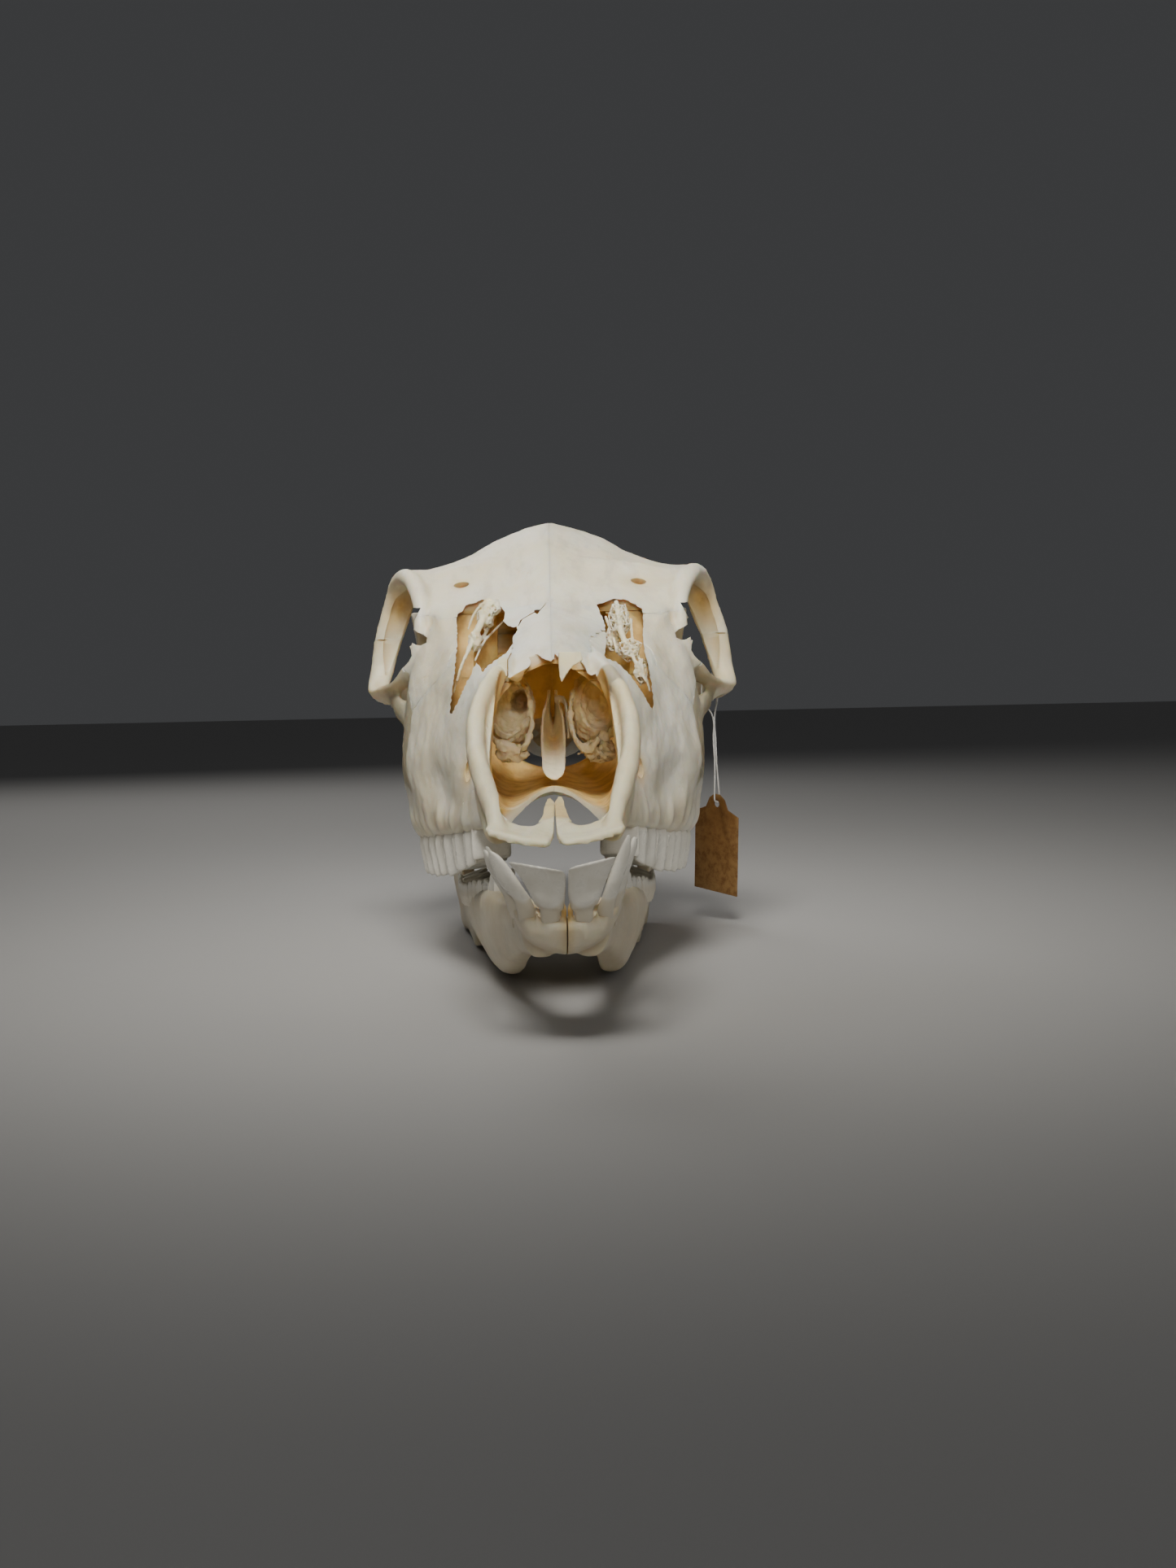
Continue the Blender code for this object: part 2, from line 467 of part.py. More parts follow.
def largest_body(obj):
    """Keeps only the largest connected surface of an object."""
    form = bmesh.new()
    form.from_mesh(obj.data)
    form.verts.ensure_lookup_table()
    unseen = set(form.verts)
    bodies = []
    while unseen:
        stack = [unseen.pop()]
        body = set(stack)
        while stack:
            for edge in stack.pop().link_edges:
                for vertex in edge.verts:
                    if vertex in unseen:
                        unseen.discard(vertex)
                        body.add(vertex)
                        stack.append(vertex)
        bodies.append(body)
    bodies.sort(key=len, reverse=True)
    loose = [v for body in bodies[1:] for v in body]
    bmesh.ops.delete(form, geom=loose, context="VERTS")
    form.to_mesh(obj.data)
    form.free()
    return obj


def copy_of(obj, name):
    """A copy of an object with its own mesh."""
    return link(name, obj.data.copy())


def inset(outline, distance):
    """An outline of (y, z) points moved inwards by a distance."""
    points = np.asarray(outline, float)
    area = np.sum(points[:, 0] * np.roll(points[:, 1], -1) - np.roll(points[:, 0], -1) * points[:, 1])
    turn = 1.0 if area > 0 else -1.0
    made = []
    for k, point in enumerate(points):
        back = point - points[k - 1]
        ahead = points[(k + 1) % len(points)] - point
        normals = [np.array((-d[1], d[0])) * turn / np.linalg.norm(d) for d in (back, ahead)]
        middle = normals[0] + normals[1]
        made.append(point + middle * distance / max(0.35, 1 + normals[0] @ normals[1]))
    return made


def face_and_braincase():
    """The outer form of the skull, solid right through."""
    pieces = [
        lined_body("face", FACE_LINES, 14, 152),
        oval_body("braincase form", BRAINCASE_OVALS),
        lined_body("forehead", FOREHEAD_LINES, 122, 200),
        bar("skull base", SKULL_BASE),
        bar("nuchal crest", NUCHAL_CREST, count=30),
    ]
    for side in SIDES.values():
        pieces += [
            ellipsoid("occipital condyle", (11.5, 240.5, 26), (7, 7.5, 9.5), (20, 0, -18), side),
            ellipsoid("auditory bulla", (17, 210, 14.5), (6.5, 9, 7), (0, 0, -20), side),
            ellipsoid("cheek tooth wall", (29, 148, 6), (8, 9, 12), (0, 0, 0), side),
        ]
    return fused("skull", pieces)


def front_plate(side):
    """The thin plate at the tip of the upper jaw, rising towards the back."""
    plate = prism("front plate", FRONT_PLATE, 0.0, PLATE_THICKNESS, "z", side)
    for vertex in plate.data.vertices:
        vertex.co.z += PLATE_SLOPE * vertex.co.y
    return plate


def orbit_cutters(side):
    """The hollow of an orbit, and the space behind it that opens to the temple."""
    return [
        ellipsoid("orbit hollow", (42, 153.2, 51.6), (21.5, 18.2, 15.6), (0, 0, 14), side),
        ellipsoid("temple hollow", (45, 176, 50), (14, 20, 15.5), (0, 0, 0), side),
    ]


def outer_skull():
    """The outer form with its orbits hollowed, and with its bars, arches and processes grown on."""
    skull = face_and_braincase()
    boolean(skull, "DIFFERENCE", [c for side in SIDES.values() for c in orbit_cutters(side)])
    pieces = [skull]
    for side in SIDES.values():
        pieces += [
            bar("orbit rim", ORBIT_RIM, side, closed=True, count=44),
            bar("cheek bone", CHEEK_BONE, side, count=36),
            bar("nose arm", NOSE_ARM, side, count=30),
            bar("paracondyle", PARACONDYLE, side),
            bar("ear tube", EAR_TUBE, side, count=12),
            bar("pterygoid", PTERYGOID, side),
            bar("hamulus", HAMULUS, side, count=12),
            front_plate(side),
        ]
    return thinned(fused("skull", pieces, passes=3), OUTER_TRIANGLES)


def nose_and_brain_hollows():
    """The nasal cavity with its way out at the back, and the hollow behind the foramen magnum."""
    nasal = [
        lined_body("nasal cavity", CAVITY_LINES, -6, 144),
        bar("choana", CHOANA, count=16),
    ]
    brain = [
        ellipsoid("brain hollow", (0, 219, 40), (13, 11, 12)),
        bar("foramen magnum", FORAMEN_MAGNUM, count=10),
    ]
    return [
        thinned(fused("nasal hollow", nasal, voxel=1.4, passes=3), CAVITY_TRIANGLES),
        thinned(fused("brain hollow", brain, voxel=1.5, passes=3), CAVITY_TRIANGLES // 4),
    ]


def openings():
    """Cutters for the openings through the walls of the face and for the larger foramina."""
    cutters = []
    for name, side in SIDES.items():
        nostril = NOSTRIL_EDGE[name] + ((10.6, 40), (10.6, 10), (0, 10))
        cutters += [
            prism("nostril " + name, nostril, 30, 60, "z", side),
            prism("vacuity " + name, VACUITY[name], 27.5, 75, "z", side),
            prism("palate fissure " + name, PALATE_FISSURE, -4, 9, "z", side),
            bar("infraorbital canal", INFRAORBITAL_CANAL, side, count=8),
            bar("supraorbital canal", SUPRAORBITAL_CANAL, side, count=6),
            bar("ear canal", EAR_CANAL, side, count=6),
        ]
    return cutters


def carved_skull():
    """The skull with every hollow and opening cut into it."""
    skull = outer_skull()
    boolean(skull, "DIFFERENCE", nose_and_brain_hollows() + openings())
    return largest_body(skull)


def tooth_row(name, teeth, outer_line, root_line, tip_line, step, side, upper):
    """The cheek teeth of one row, each with the ribs of its outer face and one or two round lobes inside."""
    crowns = []
    vary = random.Random(TOOTH_SEED + int(upper))
    for number, (front, back, breadth) in enumerate(teeth):
        wear = vary.uniform(0.0, TOOTH_WEAR)
        lobes = 2 if number >= 3 else 1
        outline = []
        for k in range(4 * lobes + 1):
            y = front + (back - front) * k / (4 * lobes)
            outline.append((y, RIB_DEPTH if k % 2 else 0.0))
        for k in range(4 * lobes + 1):
            y = back - (back - front) * k / (4 * lobes)
            outline.append((y, 1.0 - LOBE_DEPTH * (1 - abs(math.sin(math.pi * k / 4)) ** 0.6)))
        rings = []
        for share in (0.0, 0.5, 1.0):
            ring = []
            for y, across in outline:
                rib = across * (0.4 + 0.6 * share) if across < 0.1 else across
                x = line_at(outer_line, y)[0] - breadth * rib
                if upper:
                    x -= line_at(TOOTH_LEAN, y)[2] * share
                    root = line_at(root_line, y)[2] + ROOT_DEPTH
                    tip = line_at(tip_line, y)[2] + step * across + wear
                else:
                    root = line_at(root_line, y)[2] - ROOT_DEPTH
                    tip = line_at(tip_line, y)[2] - step * (1 - across) - wear
                ring.append((x * side, y, root + (tip - root) * share))
            rings.append(ring)
        crowns.append(loft(name, rings))
    return crowns


def skull_regions():
    """The bones' regions: name, outline from the side (y, z), x from and to, and whether it is paired."""
    nasal = ((48, 29), (60, 34.6), (75, 41), (95, 46.6), (112, 50), (124, 54.5), (127, 90), (48, 90))
    premaxilla = ((-10, -10), (13, -10), (17, 2), (30, 12), (48, 24), (62, 33), (79, 42), (75, 41),
                  (60, 34.8), (46, 50), (-10, 40))
    frontal = ((124, 54.5), (131, 55.5), (140, 57.5), (152, 52), (181, 52), (186, 66), (191, 95),
               (124, 95))
    zygomatic = ((119, 8), (124, 30), (133, 38), (141, 44), (152, 52), (181, 52), (186, 40), (186, 24),
                 (150, 14))
    lacrimal = ((112, 40), (124, 30), (133, 38), (141, 44), (152, 52), (140, 57.5), (131, 55.5),
                (121, 53.5))
    maxilla = ((8, -20), (190, -20), (190, 10), (152, 18), (152, 52), (141, 44), (133, 38), (124, 30),
               (112, 40), (121, 53.5), (124, 54.5), (112, 50), (95, 46.6), (79, 42), (62, 33), (48, 24),
               (30, 12), (17, 2), (13, -10), (8, -10))
    return (
        ("nasal", nasal, 0, 60),
        ("frontal", frontal, 0, 60),
        ("zygomatic", zygomatic, 33, 70),
        ("lacrimal", lacrimal, 15, 70),
        ("premaxilla", premaxilla, 0, 40),
        ("maxilla", maxilla, 0, 60),
    )


def part_into_bones(skull, bone):
    """Parts the carved skull along the sutures, with a thin gap, and returns the bones by name."""
    bones = {}
    rest = skull
    for name, outline, low, high in skull_regions():
        for where, side in SIDES.items():
            region = prism("region", inset(outline, GAP / 2), low + GAP / 2, high - GAP / 2, "x", side)
            taken = copy_of(rest, name + "_" + where)
            boolean(taken, "INTERSECT", [region])
            bones[taken.name] = taken
        whole = prism("whole region", inset(outline, -GAP / 2), low - GAP / 2 if low else -high, high, "x")
        cutters = [whole]
        if low:
            cutters.append(prism("whole region", inset(outline, -GAP / 2), low - GAP / 2, high, "x", -1.0))
        boolean(rest, "DIFFERENCE", cutters)
    rest.name = "braincase"
    bones["braincase"] = rest
    for obj in bones.values():
        largest_body(obj)
        obj.data.materials.clear()
        obj.data.materials.append(bone)
    return bones


def vomer(bone):
    """The thin trough that stands in the middle of the nasal cavity."""
    rings = []
    for y, half, low, high in VOMER_STATIONS:
        wall = VOMER_WALL
        middle = (low + high) / 2
        outer = [(half, high), (half * 0.95, middle), (half * 0.6, low + 0.8), (0, low)]
        inner = [(half - wall, high), (half * 0.95 - wall, middle + 0.3), (half * 0.5 - 0.2, low + 2.0),
                 (0, low + 1.4)]
        mirrored = [(-across, up) for across, up in outer[-2::-1] + inner[:-1]]
        rings.append([(x, y, z) for x, z in outer + mirrored + inner[::-1]])
    obj = loft("vomer", rings)
    obj.data.materials.append(bone)
    return obj


def turbinate(where, side, bone):
    """The rolled shell on the side wall of the nasal cavity, open to the front."""
    turns = np.radians(np.linspace(*SCROLL_TURNS, 10))
    rings = []
    for y, x, z, half, tall in SCROLL_STATIONS:
        half_inside, tall_inside = half - SCROLL_WALL, tall - SCROLL_WALL
        outer = [(x - half * math.cos(a), z + tall * math.sin(a)) for a in turns]
        inner = [(x - half_inside * math.cos(a), z + tall_inside * math.sin(a)) for a in turns[::-1]]
        rings.append([(px * side, y, pz) for px, pz in outer + inner])
    obj = loft("turbinate_" + where, rings)
    obj.data.materials.append(bone)
    return obj


def jaw_body(side):
    """The long lower part of one half of the jaw."""
    rings = []
    for y in np.linspace(4, 160, 53):
        top = line_at(JAW_UPPER_BORDER, y)
        bottom = line_at(JAW_LOWER_BORDER, y)
        half = smooth_value([p[0] for p in JAW_HALF_THICKNESS], [p[1] for p in JAW_HALF_THICKNESS], y)
        middle = (top + bottom) / 2
        reach = (top - bottom) / 2
        ring = []
        for a in np.linspace(0, 2 * math.pi, 20, endpoint=False):
            across = math.copysign(abs(math.cos(a)) ** 0.7, math.cos(a)) * half
            upward = math.copysign(abs(math.sin(a)) ** 0.8, math.sin(a))
            point = middle + reach * upward + np.array((across, 0, 0))
            ring.append(point * (side, 1, 1))
        rings.append(ring)
    return loft("jaw body", rings)


def ramus(side):
    """The thin upright plate behind the teeth, with the coronoid process."""
    plate = prism("ramus", RAMUS_OUTLINE, -RAMUS_HALF_THICKNESS, RAMUS_HALF_THICKNESS)
    for vertex in plate.data.vertices:
        y, z = vertex.co.y / MM, vertex.co.z / MM
        x = vertex.co.x / MM + RAMUS_FOOT_X + (z + 36) * RAMUS_LEAN + (y - 185) * RAMUS_TOE_IN
        vertex.co.x = x * side * MM
    if side < 0:
        plate.data.flip_normals()
    return plate


def front_tooth(root, tip, breadth, thickness, face_degrees, side):
    """A chisel-shaped front tooth: a round root that widens to a thin edge."""
    root = np.array(root, float)
    tip = np.array(tip, float)
    along = tip - root
    turn = math.radians(face_degrees)
    across = np.array((math.cos(turn), -math.sin(turn), 0.12))
    across -= along * (across @ along) / (along @ along)
    across /= np.linalg.norm(across)
    deep = np.cross(along, across)
    deep /= np.linalg.norm(deep)
    rings = []
    for share, wide, thick in FRONT_CROWN:
        centre = root + along * share
        ring = []
        for a in np.linspace(0, 2 * math.pi, 10, endpoint=False):
            point = centre + across * breadth / 2 * wide * math.cos(a)
            point = point + deep * thickness / 2 * thick * math.sin(a)
            point[0] = max(point[0], 0.25)
            ring.append(point * (side, 1, 1))
        rings.append(ring)
    return loft("front tooth", rings)


def jaw_half(where, side, bone):
    """One half of the lower jaw with its teeth."""
    body = fused("mandible_" + where, [
        jaw_body(side),
        ramus(side),
        bar("jaw condyle", CONDYLE, side, count=12),
        bar("chin", CHIN, side, count=10),
    ])
    thinned(body, JAW_TRIANGLES)
    other_side = prism("other side", ((-20, -60), (230, -60), (230, 80), (-20, 80)), -40, GAP / 2, "x", side)
    boolean(body, "DIFFERENCE", [other_side])
    largest_body(body)
    teeth = tooth_row("lower tooth", LOWER_TEETH, LOWER_BUCCAL_LINE, JAW_UPPER_BORDER, LOWER_TIP_LINE,
                      LOWER_STEP, side, upper=False)
    teeth += [front_tooth(*tooth, side) for tooth in FRONT_TEETH]
    boolean(body, "UNION", teeth, solver="EXACT")
    largest_body(body)
    body.data.materials.clear()
    body.data.materials.append(bone)
    return body


def tag_card(card):
    """The card with its clipped shoulders and its hole, hanging turned and a little askew."""
    half = TAG_BREADTH / 2
    shoulder = [(half, -6.2), (half * 0.5, -4.4), (half * 0.34, -1.4), (half * 0.12, 0)]
    outline = [(-half, -TAG_HEIGHT), (half, -TAG_HEIGHT)] + shoulder
    outline += [(-across, down) for across, down in reversed(shoulder)]
    obj = prism("tag_card", outline, -TAG_THICKNESS / 2, TAG_THICKNESS / 2)
    hole = bar("hole", ((-3, 0, -3.0, 1.1, 1.1), (3, 0, -3.0, 1.1, 1.1)), count=2)
    boolean(obj, "DIFFERENCE", [hole], solver="EXACT")
    turn = Matrix.Rotation(math.radians(TAG_TURN_DEGREES), 4, "Z")
    swing = Matrix.Rotation(math.radians(TAG_SWING_DEGREES), 4, "Y")
    lean = Matrix.Rotation(math.radians(TAG_LEAN_DEGREES), 4, "X")
    obj.data.transform(Matrix.Translation(Vector(TAG_TOP) * MM) @ turn @ swing @ lean)
    obj.data.materials.append(card)
    return obj


def tag_thread(cotton):
    """The thread between the cheek arch and the card."""
    curve = bpy.data.curves.new("tag_thread", "CURVE")
    curve.dimensions = "3D"
    curve.bevel_depth = THREAD_DIAMETER / 2 * MM
    curve.bevel_resolution = 2
    curve.use_fill_caps = True
    spline = curve.splines.new("POLY")
    points = through(THREAD_ROUTE, 14)
    spline.points.add(len(points) - 1)
    for made, point in zip(spline.points, points):
        made.co = (*[float(c) * MM for c in point], 1.0)
    curve.materials.append(cotton)
    obj = bpy.data.objects.new("tag_thread", curve)
    bpy.context.scene.collection.objects.link(obj)
    return obj


def stand_on_floor(nodes):
    """Swings the jaw a little, tips the skull on it, trims its feet and puts the origin under the middle."""
    pivot = Matrix.Translation((0, JAW_SWING_Y * MM, 0))
    swing = pivot @ Matrix.Rotation(math.radians(JAW_SWING_DEGREES), 4, "Z") @ pivot.inverted()
    for obj in nodes:
        if obj.name.startswith("mandible"):
            obj.data.transform(swing)
    tip = Matrix.Rotation(math.radians(-JAW_TILT_DEGREES), 4, "X")
    for obj in nodes:
        obj.data.transform(tip)
    feet = [o for o in nodes if o.name.startswith("mandible")]
    floor = min(v.co.z for o in feet for v in o.data.vertices) + FLOOR_TRIM * MM
    for obj in feet:
        deep = ((-400, -400), (400, -400), (400, floor / MM), (-400, floor / MM))
        below = prism("below floor", deep, -200, 200)
        boolean(obj, "DIFFERENCE", [below])
        largest_body(obj)
    points = np.array([v.co for o in nodes if not o.name.startswith("tag") for v in o.data.vertices])
    low, high = points.min(axis=0), points.max(axis=0)
    shift = Matrix.Translation((-(low[0] + high[0]) / 2, -(low[1] + high[1]) / 2, -floor))
    for obj in nodes:
        obj.data.transform(shift)


def main():
    """Builds every node of the skull, its jaw and its tag."""
    clear_scene()
    bone = material("bone", BONE, 0.5)
    inner_bone = material("inner bone", INNER_BONE, 0.6)
    bones = part_into_bones(carved_skull(), bone)
    for where, side in SIDES.items():
        upper = tooth_row("upper tooth", UPPER_TEETH, UPPER_BUCCAL_LINE, UPPER_ALVEOLAR_LINE, UPPER_TIP_LINE,
                          UPPER_STEP, side, upper=True)
        maxilla = bones["maxilla_" + where]
        boolean(maxilla, "UNION", upper, solver="EXACT")
        largest_body(maxilla)
        bones["turbinate_" + where] = turbinate(where, side, inner_bone)
        bones["mandible_" + where] = jaw_half(where, side, bone)
    bones["vomer"] = vomer(inner_bone)
    extras = [tag_card(material("manila card", CARD, 0.8)), tag_thread(material("cotton", COTTON, 0.9))]
    stand_on_floor(list(bones.values()) + extras)


main()
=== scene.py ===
"""The looks of a fallow deer doe's skull, with its lower jaw in place and a card tag on a thread.

The bones are modelled in the skull's own frame, in millimetres: X to the animal's left, Y from the tip
of the upper jaw (0) back to the occiput, Z up from the roof of the mouth at the first cheek tooth (0).
Every finished piece is carried from there into the model's frame, in metres.
"""

from __future__ import annotations

import logging
import math
import random
from collections.abc import Sequence
from dataclasses import dataclass
from enum import Enum

import bmesh
import bpy
import numpy as np
from bpy.types import Material, Node, NodeSocket, Object
from mathutils import Matrix, Vector
from mathutils.bvhtree import BVHTree


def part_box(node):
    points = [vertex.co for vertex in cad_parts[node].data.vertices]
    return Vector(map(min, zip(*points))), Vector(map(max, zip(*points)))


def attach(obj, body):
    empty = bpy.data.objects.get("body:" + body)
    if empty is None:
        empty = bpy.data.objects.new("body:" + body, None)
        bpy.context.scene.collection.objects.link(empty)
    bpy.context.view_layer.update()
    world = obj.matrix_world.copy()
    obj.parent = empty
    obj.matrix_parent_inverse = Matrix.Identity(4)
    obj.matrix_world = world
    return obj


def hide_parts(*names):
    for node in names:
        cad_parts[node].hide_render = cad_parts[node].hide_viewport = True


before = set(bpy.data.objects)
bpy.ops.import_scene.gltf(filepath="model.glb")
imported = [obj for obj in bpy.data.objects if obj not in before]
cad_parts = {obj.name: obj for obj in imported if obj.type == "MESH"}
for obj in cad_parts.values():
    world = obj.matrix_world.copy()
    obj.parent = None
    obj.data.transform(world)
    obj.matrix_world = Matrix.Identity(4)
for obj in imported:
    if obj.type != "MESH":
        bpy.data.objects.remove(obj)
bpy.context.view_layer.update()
LOG = logging.getLogger("skull")

MM = 0.001
SEED = 11
Station = tuple[float, ...]
Line = tuple[Station, ...]
Colour = tuple[float, float, float]
Span = tuple[float, float]


class Side(Enum):
    """The two sides of the animal: the sign of X, by which the left half's sizes are mirrored."""

    LEFT = 1.0
    RIGHT = -1.0

    @property
    def word(self) -> str:
        """The side as it ends a node's name."""
        return self.name.lower()

    @property
    def sign(self) -> float:
        """One on the animal's left, minus one on its right."""
        return self.value


class Slot(Enum):
    """The record's material slots."""

    BONE = "bone"
    INNER_BONE = "inner_bone"
    ENAMEL = "enamel"
    CARD = "card"
    COTTON = "cotton"


class Curves:
    """Smooth curves through given stations."""

    @staticmethod
    def value(knots: Sequence[float], values: Sequence[float], at: float) -> float:
        """Reads a smooth curve that doesn't overshoot its knots.

        Args:
            knots: Where the values stand, rising.
            values: The values there.
            at: Where the curve is read.

        Returns:
            The value on the curve.
        """
        steps = np.diff(knots)
        slopes = np.diff(values) / steps
        tangents = np.zeros(len(values))
        tangents[0], tangents[-1] = slopes[0], slopes[-1]
        for k in range(1, len(values) - 1):
            before, after = slopes[k - 1], slopes[k]
            if before * after > 0:
                heavy = 2 * steps[k] + steps[k - 1]
                light = steps[k] + 2 * steps[k - 1]
                tangents[k] = (heavy + light) / (heavy / before + light / after)
        k = int(np.clip(np.searchsorted(knots, at) - 1, 0, len(steps) - 1))
        t = float(np.clip((at - knots[k]) / steps[k], 0.0, 1.0))
        start = (1 + 2 * t) * (1 - t) ** 2 * values[k] + t * (1 - t) ** 2 * steps[k] * tangents[k]
        end = t * t * (3 - 2 * t) * values[k + 1] + t * t * (t - 1) * steps[k] * tangents[k + 1]
        return float(start + end)

    @staticmethod
    def at(line: Line, y: float) -> list[float]:
        """Reads what a line of stations, which each start with their y, gives at this y."""
        ys, *columns = zip(*line)
        return [Curves.value(ys, column, y) for column in columns]

    @staticmethod
    def on_line(line: Line, y: float) -> np.ndarray:
        """Reads the point (x, y, z) of a line of (y, x, z) stations at this y."""
        x, z = Curves.at(line, y)
        return np.array((x, y, z))

    @staticmethod
    def through(points: Sequence[Sequence[float]], count: int, closed: bool = False) -> np.ndarray:
        """Spaces points along a rounded curve through the given ones.

        Args:
            points: Points of any number of coordinates, the first three of which are places.
            count: How many points are made.
            closed: Whether the curve returns to its start.

        Returns:
            The points, one a row.
        """
        given = np.asarray(points, float)
        if closed:
            given = np.vstack((given, given[:1]))
        steps = np.maximum(np.sqrt(np.linalg.norm(np.diff(given[:, :3], axis=0), axis=1)), 1e-6)
        knots = np.concatenate(([0.0], np.cumsum(steps)))
        if closed:
            before, after = given[-2] - given[-1] + given[0], given[1] - given[0] + given[-1]
            ends = (-steps[-1], knots[-1] + steps[0])
        else:
            before, after = 2 * given[0] - given[1], 2 * given[-1] - given[-2]
            ends = (-steps[0], knots[-1] + steps[-1])
        knots = np.concatenate(([ends[0]], knots, [ends[1]]))
        given = np.vstack((before, given, after))
        made = []
        for t in np.linspace(0.0, knots[-2], count, endpoint=not closed):
            k = int(np.clip(np.searchsorted(knots, t, side="right") - 1, 1, len(knots) - 3))
            t0, t1, t2, t3 = knots[k - 1:k + 3]
            p0, p1, p2, p3 = given[k - 1:k + 3]
            a1 = (t1 - t) / (t1 - t0) * p0 + (t - t0) / (t1 - t0) * p1
            a2 = (t2 - t) / (t2 - t1) * p1 + (t - t1) / (t2 - t1) * p2
            a3 = (t3 - t) / (t3 - t2) * p2 + (t - t2) / (t3 - t2) * p3
            b1 = (t2 - t) / (t2 - t0) * a1 + (t - t0) / (t2 - t0) * a2
            b2 = (t3 - t) / (t3 - t1) * a2 + (t - t1) / (t3 - t1) * a3
            made.append((t2 - t) / (t2 - t1) * b1 + (t - t1) / (t2 - t1) * b2)
        return np.array(made)

    @staticmethod
    def frayed(outline: Sequence[Sequence[float]], pitch: float, depth: float, seed: int) -> np.ndarray:
        """Breaks a closed outline into short edges and moves their ends in and out.

        Args:
            outline: The corners (a, b) of a closed outline.
            pitch: The length of the short edges.
            depth: How far an end moves at most.
            seed: The seed of the draw.

        Returns:
            The corners of the frayed outline.
        """
        draw = random.Random(seed)
        corners = np.asarray(outline, float)
        made = []
        for start, end in zip(corners, np.roll(corners, -1, axis=0)):
            along = end - start
            length = float(np.linalg.norm(along))
            across = np.array((-along[1], along[0])) / max(length, 1e-9)
            pieces = max(1, int(round(length / pitch)))
            for k in range(pieces):
                shift = draw.uniform(-depth, depth) if k else 0.0
                made.append(start + along * k / pieces + across * shift)
        return np.array(made)


@dataclass(frozen=True)
class Photograph:
    """The photograph's camera, fitted to the skull, with its distances in pixels of the photograph."""

    width: int = 1445
    focal: float = 2050.0
    axis_u: float = 681.0
    axis_v: float = 963.5
    eye: tuple[float, float, float] = (0.0, -0.44695, 0.07127)
    pitch_degrees: float = 3.03
    roll_degrees: float = -1.2
    sensor_mm: float = 36.0
    clip_start: float = 0.01

    @property
    def pose(self) -> Matrix:
        """The camera's place and turn in the model's frame."""
        tilt = Matrix.Rotation(math.radians(90 - self.pitch_degrees), 4, "X")
        roll = Matrix.Rotation(math.radians(self.roll_degrees), 4, "Z")
        return Matrix.Translation(self.eye) @ tilt @ roll

    def place(self, u: float, v: float, y: float, stand: Stand) -> np.ndarray:
        """Finds what a pixel of the photograph shows at a depth in the skull.

        Args:
            u: The pixel's column.
            v: The pixel's row.
            y: The depth in the skull's frame, in millimetres.
            stand: The way from the skull's frame to the model's.

        Returns:
            The point in the skull's frame, in millimetres.
        """
        back = stand.skull.inverted()
        start = back @ self.pose.translation
        sight = Vector(((u - self.axis_u) / self.focal, (self.axis_v - v) / self.focal, -1.0))
        ahead = back.to_3x3() @ (self.pose.to_3x3() @ sight)
        return np.array(start + ahead * ((y - start.y) / ahead.y))

    def camera(self) -> None:
        """Sets up the camera where the photograph was taken from."""
        Bench.clear()
        bpy.ops.object.camera_add()
        camera = bpy.context.object
        camera.name = "photograph_camera"
        camera.matrix_world = self.pose
        camera.data.sensor_fit = "HORIZONTAL"
        camera.data.sensor_width = self.sensor_mm
        camera.data.lens = self.focal / self.width * self.sensor_mm
        camera.data.shift_x = (self.width / 2 - self.axis_u) / self.width
        camera.data.clip_start = self.clip_start
        bpy.context.scene.camera = camera


@dataclass(frozen=True)
class Stand:
    """How the skull stands: the ways from its own frame, in millimetres, to the model's, in metres."""

    tilt_degrees: float = 1.6
    swing_degrees: float = 0.8
    swing_y: float = 150.0
    vomer_foot: Span = (77.0, 12.2)

    @property
    def skull(self) -> Matrix:
        """The way of the skull, found from the vomer's front foot, whose place in the model is known."""
        tilt = Matrix.Rotation(math.radians(-self.tilt_degrees), 4, "X")
        foot = tilt @ Vector((0.0, *self.vomer_foot))
        low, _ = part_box("vomer")
        shift = Vector((0.0, low[1] / MM - foot.y, low[2] / MM - foot.z))
        return Matrix.Diagonal((MM, MM, MM, 1.0)) @ Matrix.Translation(shift) @ tilt

    @property
    def jaw(self) -> Matrix:
        """The way of the lower jaw, which is swung a little to the left."""
        pivot = Matrix.Translation((0, self.swing_y, 0))
        swing = Matrix.Rotation(math.radians(self.swing_degrees), 4, "Z")
        return self.skull @ pivot @ swing @ pivot.inverted()


